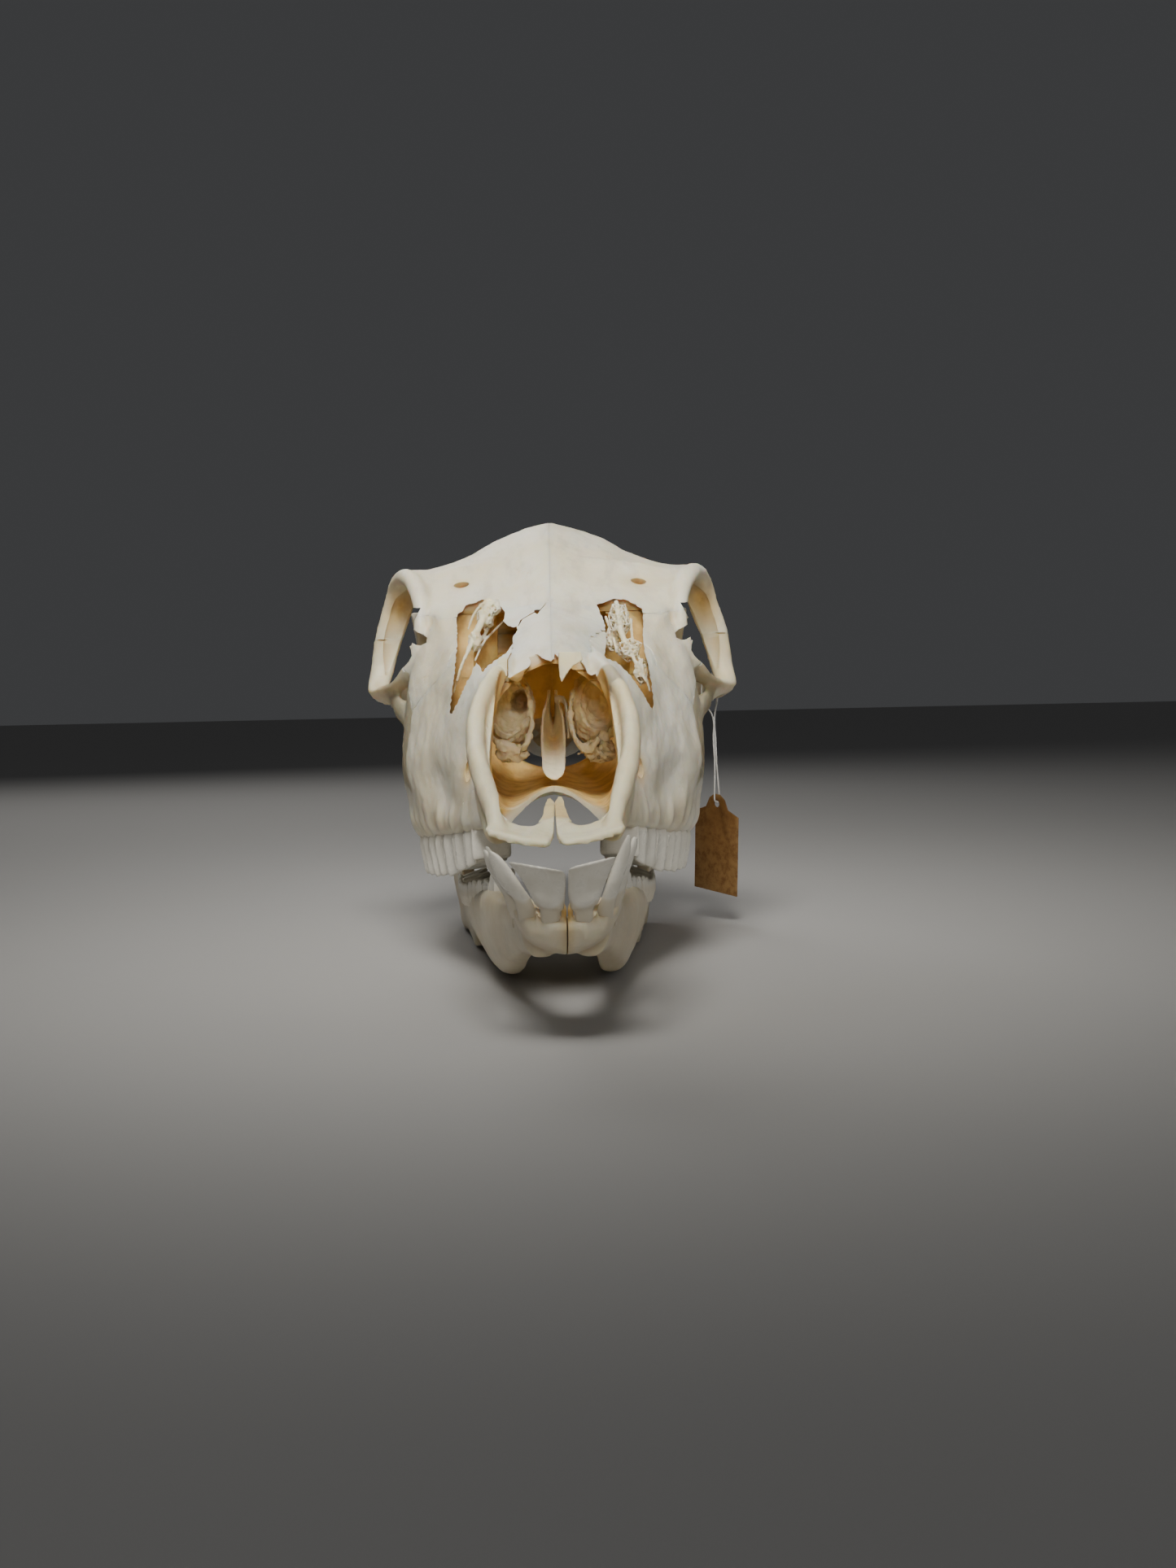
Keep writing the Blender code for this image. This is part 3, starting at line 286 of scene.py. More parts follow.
class Bench:
    """The steps of modelling, each done with Blender's own operators."""

    ACROSS_LIMIT = 0.8
    CAGES = (1.0, 0.62, 0.3)
    CROOKEDNESS = 0.3
    SMOOTH_DEGREES = 55

    @staticmethod
    def clear() -> None:
        """Leaves edit mode and deselects everything."""
        if bpy.context.mode != "OBJECT":
            bpy.ops.object.mode_set(mode="OBJECT")
        bpy.ops.object.select_all(action="DESELECT")

    @staticmethod
    def pick(*objects: Object) -> None:
        """Selects only these objects, with the first one active."""
        Bench.clear()
        for obj in objects:
            obj.select_set(True)
        bpy.context.view_layer.objects.active = objects[0]

    @staticmethod
    def grow(name: str, rings: Sequence[np.ndarray]) -> Object:
        """Extrudes a closed body from a filled circle, ring by ring.

        Args:
            name: The object's name.
            rings: The rings that the body runs through, of equally many points.

        Returns:
            The body, closed at both ends.
        """
        Bench.clear()
        bpy.ops.mesh.primitive_circle_add(vertices=len(rings[0]), fill_type="NGON")
        obj = bpy.context.object
        obj.name = name
        bpy.ops.object.mode_set(mode="EDIT")
        for number, ring in enumerate(rings):
            if number:
                bpy.ops.mesh.extrude_region_move()
            form = bmesh.from_edit_mesh(obj.data)
            for vertex, point in zip([v for v in form.verts if v.select], ring):
                vertex.co = point
            bmesh.update_edit_mesh(obj.data)
        bpy.ops.mesh.select_all(action="SELECT")
        bpy.ops.mesh.normals_make_consistent(inside=False)
        bpy.ops.object.mode_set(mode="OBJECT")
        bpy.ops.object.transform_apply()
        return obj

    @staticmethod
    def ball(name: str, centre: Station, radii: Station, turn: Station = (0, 0, 0),
             side: Side = Side.LEFT, fineness: int = 5) -> Object:
        """Adds a ball stretched to its radii, for one side of the skull.

        Args:
            name: The object's name.
            centre: Its centre on the left side.
            radii: Its three radii.
            turn: Its turns about X, Y and Z in degrees, on the left side.
            side: The side that it is for.
            fineness: How often its faces are divided.

        Returns:
            The ball, with its place in its mesh.
        """
        Bench.clear()
        s = side.sign
        turns = [math.radians(a) for a in (turn[0], turn[1] * s, turn[2] * s)]
        bpy.ops.mesh.primitive_ico_sphere_add(subdivisions=fineness, radius=1.0, rotation=turns,
                                              location=(centre[0] * s, centre[1], centre[2]))
        obj = bpy.context.object
        obj.name = name
        obj.scale = radii
        bpy.ops.object.transform_apply()
        return obj

    @staticmethod
    def bar(name: str, line: Line, side: Side = Side.LEFT, closed: bool = False, step: float = 1.5,
            sides: int = 24) -> Object:
        """Grows a bar of oval cross-section.

        Args:
            name: The object's name.
            line: Its stations (x, y, z, half breadth, half height) on the left side.
            side: The side that it is for.
            closed: Whether its end meets its start.
            step: The distance between its rings.
            sides: The points of each ring.

        Returns:
            The bar.
        """
        length = np.linalg.norm(np.diff(np.asarray(line, float)[:, :3], axis=0), axis=1).sum()
        samples = Curves.through(line, max(4, int(length / step)), closed)
        path = samples[:, :3] * (side.sign, 1, 1)
        ahead = np.roll(path, -1, axis=0) - np.roll(path, 1, axis=0)
        if not closed:
            ahead[0], ahead[-1] = path[1] - path[0], path[-1] - path[-2]
        turns = np.linspace(0, 2 * math.pi, sides, endpoint=False)[:, None]
        rings = []
        for point, direction, (half, tall) in zip(path, ahead, samples[:, 3:5]):
            direction = direction / np.linalg.norm(direction)
            slanting = abs(direction[0]) < Bench.ACROSS_LIMIT
            across = np.array((1.0, 0, 0)) if slanting else np.array((0, 1.0, 0))
            across = across - direction * (across @ direction)
            across /= np.linalg.norm(across)
            up = np.cross(direction, across)
            rings.append(point + across * half * np.cos(turns) + up * tall * np.sin(turns))
        if closed:
            rings += rings[:2]
        return Bench.grow(name, rings)

    @staticmethod
    def prism(name: str, outline: Sequence[Sequence[float]], low: float, high: float, axis: str,
              side: Side = Side.LEFT) -> Object:
        """Extrudes an outline along an axis.

        Args:
            name: The object's name.
            outline: Its corners: (y, z) for axis "x", (x, y) for axis "z".
            low: Where it starts along the axis.
            high: Where it ends along the axis.
            axis: "x" or "z".
            side: The side that it is for.

        Returns:
            The prism.
        """
        flat = np.asarray(outline, float)
        rings = []
        for height in (low, high):
            level = np.full(len(flat), height)
            columns = (level, flat[:, 0], flat[:, 1]) if axis == "x" else (flat[:, 0], flat[:, 1], level)
            rings.append(np.column_stack(columns) * (side.sign, 1, 1))
        return Bench.grow(name, rings)

    @staticmethod
    def modified(obj: Object, kind: str, **settings: object) -> Object:
        """Adds a modifier with these settings to the object and applies it."""
        Bench.pick(obj)
        modifier = obj.modifiers.new(kind.lower(), kind)
        for key, value in settings.items():
            setattr(modifier, key, value)
        bpy.ops.object.modifier_apply(modifier=modifier.name)
        return obj

    @staticmethod
    def joined(name: str, pieces: Sequence[Object]) -> Object:
        """Joins the meshes of several objects under one name."""
        Bench.pick(*pieces)
        if len(pieces) > 1:
            bpy.ops.object.join()
        pieces[0].name = name
        return pieces[0]

    @staticmethod
    def fused(name: str, pieces: Sequence[Object], voxel: float, passes: int) -> Object:
        """Grows overlapping bodies into one and rounds their joints.

        Args:
            name: The object's name.
            pieces: The bodies.
            voxel: The size of the faces of the grown body.
            passes: How often it is smoothed.

        Returns:
            The one body.
        """
        obj = Bench.joined(name, pieces)
        Bench.modified(obj, "REMESH", mode="VOXEL", voxel_size=voxel, adaptivity=0.0)
        if passes:
            Bench.modified(obj, "SMOOTH", factor=0.5, iterations=passes)
        return obj

    @staticmethod
    def roughened(obj: Object, unevenness: Line) -> None:
        """Moves the surface in and out by soft clouds of each size, by half its height at most."""
        for size, height in unevenness:
            texture = bpy.data.textures.new("unevenness", "CLOUDS")
            texture.noise_scale = size
            Bench.modified(obj, "DISPLACE", texture=texture, strength=height, mid_level=0.5,
                           texture_coords="LOCAL")

    @staticmethod
    def swollen(obj: Object, swellings: Sequence[Swelling]) -> None:
        """Lifts the surface by each swelling, along the directions that it has before them."""
        points, normals = Bench.points(obj), Bench.normals(obj)
        for swelling in swellings:
            points = points + normals * swelling.lift(points)[:, None]
        Bench.moved(obj, points)

    @staticmethod
    def sponge(name: str, centre: Station, radii: Station, thickness: float, seed: int) -> Object:
        """Models a lump of spongy bone: cages of crooked struts, one inside the other.

        Args:
            name: The object's name.
            centre: Its centre.
            radii: Its radii.
            thickness: How thick its struts are.
            seed: The seed of their crookedness.

        Returns:
            The lump.
        """
        cages = []
        for number, share in enumerate(Bench.CAGES):
            cage = Bench.ball(name, (0, 0, 0), (share, share, share), fineness=2)
            Bench.pick(cage)
            bpy.ops.object.mode_set(mode="EDIT")
            bpy.ops.mesh.select_all(action="SELECT")
            bpy.ops.transform.vertex_random(offset=Bench.CROOKEDNESS * share, uniform=0.5,
                                            seed=seed + number)
            bpy.ops.object.mode_set(mode="OBJECT")
            Bench.moved(cage, Bench.points(cage) * radii + centre)
            cages.append(Bench.modified(cage, "WIREFRAME", thickness=thickness))
        return Bench.joined(name, cages)

    @staticmethod
    def copied(obj: Object, name: str) -> Object:
        """Copies an object with its own mesh."""
        Bench.pick(obj)
        bpy.ops.object.duplicate()
        copy = bpy.context.object
        copy.name = name
        return copy

    @staticmethod
    def removed(*objects: Object) -> None:
        """Deletes these objects."""
        for obj in objects:
            bpy.data.objects.remove(obj, do_unlink=True)

    @staticmethod
    def carved(obj: Object, cutters: Sequence[Object], operation: str = "DIFFERENCE",
               solver: str = "MANIFOLD") -> Object:
        """Cuts away each cutter in turn, or keeps what is common with it.

        Args:
            obj: The body that is changed.
            cutters: The bodies that it is changed by, which are used up.
            operation: "DIFFERENCE" or "INTERSECT".
            solver: The Boolean's solver.

        Returns:
            The changed body.
        """
        for cutter in cutters:
            before = len(obj.data.vertices)
            Bench.modified(obj, "BOOLEAN", operation=operation, solver=solver, object=cutter)
            if len(obj.data.vertices) == before:
                LOG.warning("%s left %s as it was", cutter.name, obj.name)
            Bench.removed(cutter)
        return obj

    @staticmethod
    def largest(obj: Object) -> Object:
        """Keeps only the largest connected body of an object."""
        name = obj.name
        Bench.pick(obj)
        bpy.ops.object.mode_set(mode="EDIT")
        bpy.ops.mesh.select_all(action="SELECT")
        bpy.ops.mesh.separate(type="LOOSE")
        bpy.ops.object.mode_set(mode="OBJECT")
        bodies = sorted(bpy.context.selected_objects, key=lambda o: len(o.data.vertices))
        kept = bodies.pop()
        Bench.removed(*bodies)
        kept.name = name
        return kept

    @staticmethod
    def points(obj: Object) -> np.ndarray:
        """Reads the points of an object's mesh, one a row."""
        flat = np.empty(len(obj.data.vertices) * 3)
        obj.data.vertices.foreach_get("co", flat)
        return flat.reshape(-1, 3)

    @staticmethod
    def moved(obj: Object, points: np.ndarray) -> None:
        """Moves the points of an object's mesh."""
        obj.data.vertices.foreach_set("co", points.ravel())
        obj.data.update()

    @staticmethod
    def normals(obj: Object) -> np.ndarray:
        """Reads the outward directions at the points of an object's mesh."""
        flat = np.empty(len(obj.data.vertices) * 3)
        obj.data.vertex_normals.foreach_get("vector", flat)
        return flat.reshape(-1, 3)

    @staticmethod
    def measured(obj: Object, name: str, values: np.ndarray) -> None:
        """Stores one number for each point, which a finish reads by name."""
        layer = obj.data.attributes.new(name, "FLOAT", "POINT")
        layer.data.foreach_set("value", values.astype(np.float32))

    @staticmethod
    def tree(obj: Object) -> BVHTree:
        """Makes a search tree of an object's surface."""
        form = bmesh.new()
        form.from_mesh(obj.data)
        made = BVHTree.FromBMesh(form)
        form.free()
        return made

    @staticmethod
    def distances(obj: Object, surface: BVHTree, most: float) -> np.ndarray:
        """Measures how far each point of an object is from a surface, up to a limit."""
        found = (surface.find_nearest(v.co, most)[3] for v in obj.data.vertices)
        return np.array([most if d is None else d for d in found])

    @staticmethod
    def delivered(obj: Object, way: Matrix, material: Material, slot: Slot, *nodes: str) -> None:
        """Carries a finished piece into the model's frame and hands it over. Nothing dips under the floor.

        Args:
            obj: The piece, in the skull's frame.
            way: The way into the model's frame.
            material: Its finish.
            slot: The record's slot that the finish belongs to; not used.
            nodes: The CAD nodes that the piece stands for.
        """
        Bench.pick(obj)
        obj.data.transform(way)
        places = Bench.points(obj)
        places[:, 2] = np.maximum(places[:, 2], 0.0)
        Bench.moved(obj, places)
        obj.data.materials.clear()
        obj.data.materials.append(material)
        for polygon in obj.data.polygons:
            polygon.material_index = 0
        bpy.ops.object.shade_smooth_by_angle(angle=math.radians(Bench.SMOOTH_DEGREES))
        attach(obj, "root")
        if nodes:
            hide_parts(*nodes)
        LOG.info("%s: %d faces", obj.name, len(obj.data.polygons))


@dataclass(frozen=True)
class Pattern:
    """A cloudy pattern of a finish.

    Its sizes are that of its patches in metres, the number of its finer layers and how strong they are,
    how many times finer it is along each axis, and how much it swirls.
    """

    size: float
    detail: float = 3.0
    roughness: float = 0.55
    stretch: Station = (1, 1, 1)
    distortion: float = 0.0


class Signal:
    """A number that varies over a surface: Python's arithmetic on it adds Math nodes."""

    def __init__(self, paint: Paint, socket: NodeSocket) -> None:
        """Wraps the output socket of a node of this paint."""
        self.paint = paint
        self.socket = socket

    def maths(self, operation: str, *values: Signal | float) -> Signal:
        """Adds a Math node of this operation on the given values."""
        node = self.paint.node("ShaderNodeMath", {"operation": operation}, dict(enumerate(values)))
        return Signal(self.paint, node.outputs[0])

    def __add__(self, other: Signal | float) -> Signal:
        """Adds."""
        return self.maths("ADD", self, other)

    def __sub__(self, other: Signal | float) -> Signal:
        """Subtracts."""
        return self.maths("SUBTRACT", self, other)

    def __rsub__(self, other: float) -> Signal:
        """Subtracts from a number."""
        return self.maths("SUBTRACT", other, self)

    def __mul__(self, other: Signal | float) -> Signal:
        """Multiplies."""
        return self.maths("MULTIPLY", self, other)

    __radd__ = __add__

    def between(self, low: float, high: float, share: float = 1.0) -> Signal:
        """Turns the range from low to high into a smooth step from 0 to the share."""
        node = self.paint.node("ShaderNodeMapRange", {"interpolation_type": "SMOOTHSTEP"},
                               {"Value": self, "From Min": low, "From Max": high, "To Max": share})
        return Signal(self.paint, node.outputs["Result"])

    def clamped(self) -> Signal:
        """Keeps the number between 0 and 1."""
        return self.maths("MINIMUM", self.maths("MAXIMUM", self, 0.0), 1.0)


class Paint:
    """One material under construction."""

    def __init__(self, name: str) -> None:
        """Starts a material with its Principled shader and the object's coordinates."""
        self.material = bpy.data.materials.new(name)
        self.material.use_nodes = True
        self.tree = self.material.node_tree
        self.shader = self.tree.nodes["Principled BSDF"]
        self.place = self.node("ShaderNodeTexCoord", {}, {}).outputs["Object"]

    def node(self, kind: str, settings: dict[str, object], values: dict[str | int, object]) -> Node:
        """Adds a node.

        Args:
            kind: The node's type.
            settings: Its properties, which are set first.
            values: What its sockets hold: a Signal, another node's socket, a number or a colour.

        Returns:
            The node.
        """
        made = self.tree.nodes.new(kind)
        for key, value in settings.items():
            setattr(made, key, value)
        for key, value in values.items():
            self.feed(made.inputs[key], value)
        return made

    def feed(self, socket: NodeSocket, value: object) -> None:
        """Gives a socket a link or a value."""
        if isinstance(value, Signal):
            value = value.socket
        if isinstance(value, NodeSocket):
            self.tree.links.new(value, socket)
        elif isinstance(value, tuple) and len(value) == 3 and socket.type == "RGBA":
            socket.default_value = (*value, 1.0)
        else:
            socket.default_value = value

    def noise(self, pattern: Pattern) -> Signal:
        """Adds a cloudy pattern, whose value is about 0 to 1."""
        place = self.place
        if pattern.stretch != (1, 1, 1):
            mapping = {"Vector": place, "Scale": pattern.stretch}
            place = self.node("ShaderNodeMapping", {}, mapping).outputs[0]
        made = self.node("ShaderNodeTexNoise", {}, {
            "Vector": place, "Scale": 1 / pattern.size, "Detail": pattern.detail,
            "Roughness": pattern.roughness, "Distortion": pattern.distortion})
        return Signal(self, made.outputs[0])

    def cells(self, size: float) -> Signal:
        """Adds a pattern of cells of this size in metres: 0 at each one's middle."""
        made = self.node("ShaderNodeTexVoronoi", {}, {"Vector": self.place, "Scale": 1 / size})
        return Signal(self, made.outputs["Distance"])

    def measure(self, name: str) -> Signal:
        """Reads a number stored on the points of the mesh."""
        made = self.node("ShaderNodeAttribute", {"attribute_name": name}, {})
        return Signal(self, made.outputs["Fac"])

    def mixed(self, factor: Signal | float, first: object, second: object) -> NodeSocket:
        """Mixes two colours."""
        made = self.node("ShaderNodeMix", {"data_type": "RGBA"}, {0: factor, 6: first, 7: second})
        return made.outputs[2]

    def bumped(self, height: Signal, depth: float, strength: float = 1.0,
               under: NodeSocket | None = None) -> NodeSocket:
        """Adds relief.

        Args:
            height: The relief's height, about 0 to 1.
            depth: What 1 stands for, in metres.
            strength: How much of it shows.
            under: The relief that it lies on.

        Returns:
            The normal.
        """
        values = {"Height": height, "Distance": depth, "Strength": strength}
        if under is not None:
            values["Normal"] = under
        return self.node("ShaderNodeBump", {}, values).outputs[0]

    def finished(self, **values: object) -> Material:
        """Feeds the shader's sockets, named with _ for each space, and hands over the material."""
        for key, value in values.items():
            self.feed(self.shader.inputs[key.replace("_", " ")], value)
        return self.material


@dataclass(frozen=True)
class BoneFinish:
    """Cleaned dry bone: off-white outside, amber where it is thin and hidden from the light.

    In this finish and the next ones a span is where something starts to show, where it shows in full
    and, unless that is 1, how strong it is there. A relief is its depth in metres and how much shows.
    """

    name: str
    pale: Colour
    warm: Colour
    grey: Colour = (0.52, 0.47, 0.35)
    # Dusty brown for the creases: dust and painted shade.
    dust: Colour = (0.58, 0.45, 0.24)
    amber: Colour = (0.80, 0.54, 0.16)
    umber: Colour = (0.52, 0.29, 0.055)
    honey: Colour = (0.86, 0.68, 0.34)
    clouds: Pattern = Pattern(0.022, 4.0)
    streaks: Pattern = Pattern(0.0045, 4.0, 0.6, (1.0, 0.22, 0.6))
    grain: Pattern = Pattern(0.0011, 3.0, 0.65)
    patches: Pattern = Pattern(0.009, 2.0)
    tones: Pattern = Pattern(0.006, 3.0)
    pore_size: float = 0.0017
    warm_span: Span = (0.34, 0.68)
    grey_span: Station = (0.46, 0.74, 0.45)
    pore_span: Span = (0.08, 0.26)
    patch_span: Span = (0.52, 0.66)
    pore_share: float = 0.3
    dust_span: Station = (0.03, 0.42, 0.5)
    amber_waver: float = 2.2
    amber_span: Span = (0.9, 3.6)
    amber_share: float = 0.92
    umber_span: Span = (0.36, 0.68)
    honey_span: Station = (0.42, 0.7, 0.25)
    cloud_relief: Span = (0.0009, 0.5)
    streak_relief: Span = (0.0002, 0.7)
    grain_relief: Span = (0.00008, 0.8)
    pore_depth: float = 0.8
    roughness: float = 0.5
    grain_dulls: float = 0.18
    amber_dulls: float = 0.08
    ior: float = 1.5
    glow: float = 0.35
    glow_reach: Colour = (1.0, 0.6, 0.28)
    glow_scale: float = 0.005

    def material(self) -> Material:
        """Builds the finish, which reads the measures of depth, crevices, and stains with painted shade.
        """
        paint = Paint(self.name)
        depth, crevice, stain = (paint.measure(name) for name in ("depth", "crevice", "stain"))
        clouds, streaks, grain = (paint.noise(p) for p in (self.clouds, self.streaks, self.grain))
        pores = 1.0 - paint.cells(self.pore_size).between(*self.pore_span)
        rare = pores * paint.noise(self.patches).between(*self.patch_span)
        colour = paint.mixed(clouds.between(*self.warm_span), self.pale, self.warm)
        colour = paint.mixed(streaks.between(*self.grey_span), colour, self.grey)
        colour = paint.mixed(rare * self.pore_share, colour, self.amber)
        # Dusty brown in concave creases: dust and painted shade.
        colour = paint.mixed((0.0 - crevice).between(*self.dust_span), colour, self.dust)
        # Amber where the surface lies deep under the outer skin and where stains are stored: partly the
        # bone's own amber, partly painted shade in hollows, holes and the nose.
        wavering = depth + (clouds - 0.5) * self.amber_waver
        inside = (wavering.between(*self.amber_span) + stain).clamped()
        tone = paint.mixed(paint.noise(self.tones).between(*self.umber_span), self.amber, self.umber)
        tone = paint.mixed(streaks.between(*self.honey_span), tone, self.honey)
        colour = paint.mixed(inside * self.amber_share, colour, tone)
        relief = paint.bumped(clouds, *self.cloud_relief)
        relief = paint.bumped(streaks, *self.streak_relief, relief)
        relief = paint.bumped(grain - rare * self.pore_depth, *self.grain_relief, relief)
        rough = self.roughness + (grain - 0.5) * self.grain_dulls + inside * self.amber_dulls
        return paint.finished(Base_Color=colour, Roughness=rough, Normal=relief, IOR=self.ior,
                              Subsurface_Weight=self.glow, Subsurface_Radius=self.glow_reach,
                              Subsurface_Scale=self.glow_scale)


@dataclass(frozen=True)
class EnamelFinish:
    """Tooth enamel: cool white and satin, brown in its crevices from stain and painted shade, over a
    duller root.
    """

    name: str
    crown: Colour = (0.77, 0.74, 0.65)
    shade: Colour = (0.60, 0.56, 0.46)
    stain: Colour = (0.36, 0.30, 0.20)
    root: Colour = (0.62, 0.55, 0.41)
    blotches: Pattern = Pattern(0.004, 3.0)
    lines: Pattern = Pattern(0.002, 2.0, 0.5, (1.0, 1.0, 0.3))
    ripple: Pattern = Pattern(0.0006, 2.0)
    shade_span: Station = (0.35, 0.75, 0.5)
    line_span: Station = (0.55, 0.8, 0.12)
    root_waver: float = 0.2
    root_span: Span = (0.26, 0.46)
    root_share: float = 0.8
    stain_span: Station = (0.04, 0.42, 0.6)
    line_relief: Span = (0.00006, 0.5)
    ripple_relief: Span = (0.00003, 0.6)
    roughness: float = 0.28
    root_dulls: float = 0.2
    blotch_dulls: float = 0.12
    ior: float = 1.55
    coat: float = 0.2
    coat_roughness: float = 0.15

    def material(self) -> Material:
        """Builds the finish, which reads the measures rise (0 root, 1 tip) and crevice."""
        paint = Paint(self.name)
        rise, crevice = paint.measure("rise"), paint.measure("crevice")
        blotches, lines, ripple = (paint.noise(p) for p in (self.blotches, self.lines, self.ripple))
        colour = paint.mixed(blotches.between(*self.shade_span), self.crown, self.shade)
        colour = paint.mixed(lines.between(*self.line_span), colour, self.shade)
        bare = 1.0 - (rise + (blotches - 0.5) * self.root_waver).between(*self.root_span)
        colour = paint.mixed(bare * self.root_share, colour, self.root)
        # Brown in the crevices: stain and painted shade in the grooves and worn hollows.
        colour = paint.mixed((0.0 - crevice).between(*self.stain_span), colour, self.stain)
        relief = paint.bumped(lines, *self.line_relief)
        relief = paint.bumped(ripple, *self.ripple_relief, relief)
        rough = self.roughness + bare * self.root_dulls + (blotches - 0.5) * self.blotch_dulls
        return paint.finished(Base_Color=colour, Roughness=rough, Normal=relief, IOR=self.ior,
                              Coat_Weight=self.coat, Coat_Roughness=self.coat_roughness)


@dataclass(frozen=True)
class CardFinish:
    """Brown manila card: matt, fibrous, a little worn at its edges."""

    name: str = "manila card"
    brown: Colour = (0.145, 0.06, 0.009)
    tan: Colour = (0.20, 0.092, 0.018)
    worn: Colour = (0.34, 0.20, 0.075)
    pulp: Pattern = Pattern(0.0025, 5.0, 0.7)
    fibres: Pattern = Pattern(0.0009, 3.0, 0.6, (1.0, 1.0, 0.25), 1.2)
    fleck_size: float = 0.0012
    tan_span: Span = (0.3, 0.7)
    fleck_span: Span = (0.06, 0.16)
    fleck_share: float = 0.4
    edge_span: Station = (0.3, 0.6, 0.7)
    fibre_relief: Span = (0.00008, 0.8)
    pulp_relief: Span = (0.0002, 0.5)
    roughness: float = 0.82
    pulp_dulls: float = 0.1

    def material(self) -> Material:
        """Builds the finish, which reads the measure edge (1 at the card's edge)."""
        paint = Paint(self.name)
        edge = paint.measure("edge")
        pulp, fibres = paint.noise(self.pulp), paint.noise(self.fibres)
        flecks = paint.cells(self.fleck_size).between(*self.fleck_span)
        colour = paint.mixed(pulp.between(*self.tan_span), self.brown, self.tan)
        colour = paint.mixed((1.0 - flecks) * self.fleck_share, colour, self.worn)
        colour = paint.mixed(edge * pulp.between(*self.edge_span), colour, self.worn)
        relief = paint.bumped(fibres, *self.fibre_relief)
        relief = paint.bumped(pulp, *self.pulp_relief, relief)
        rough = self.roughness + (pulp - 0.5) * self.pulp_dulls
        return paint.finished(Base_Color=colour, Roughness=rough, Normal=relief)


@dataclass(frozen=True)
class CottonFinish:
    """White cotton thread, twisted, with a soft sheen."""

    name: str = "white cotton"
    white: Colour = (0.80, 0.79, 0.76)
    dusty: Colour = (0.62, 0.60, 0.55)
    dust: Pattern = Pattern(0.004, 3.0)
    fluff: Pattern = Pattern(0.00025, 3.0)
    dust_span: Span = (0.35, 0.7)
    twists: float = 420.0
    twist_waver: float = 1.0
    twist_relief: Span = (0.0001, 0.9)
    fluff_relief: Span = (0.00006, 0.7)
    roughness: float = 0.85
    fluff_dulls: float = 0.1
    sheen: float = 0.3

    def material(self) -> Material:
        """Builds the finish, whose twist is a slanting wave through the thread."""
        paint = Paint(self.name)
        dust, fluff = paint.noise(self.dust), paint.noise(self.fluff)
        wave = {"Vector": paint.place, "Scale": self.twists, "Distortion": self.twist_waver}
        twist = paint.node("ShaderNodeTexWave", {"bands_direction": "DIAGONAL"}, wave).outputs["Fac"]
        relief = paint.bumped(Signal(paint, twist), *self.twist_relief)
        relief = paint.bumped(fluff, *self.fluff_relief, relief)
        colour = paint.mixed(dust.between(*self.dust_span), self.white, self.dusty)
        rough = self.roughness + (fluff - 0.5) * self.fluff_dulls
        return paint.finished(Base_Color=colour, Roughness=rough, Normal=relief, Sheen_Weight=self.sheen)


@dataclass(frozen=True)
class Swelling:
    """A soft rise on a surface, or a hollow where its height is negative."""

    centre: Station
    radii: Station
    height: float
    both_sides: bool = True

    def lift(self, points: np.ndarray) -> np.ndarray:
        """Works out how far each point is lifted."""
        total = np.zeros(len(points))
        for sign in ((1.0, -1.0) if self.both_sides else (1.0,)):
            away = (points - np.asarray(self.centre) * (sign, 1, 1)) / np.asarray(self.radii)
            total += self.height * np.exp(-np.sum(away * away, axis=1))
        return total


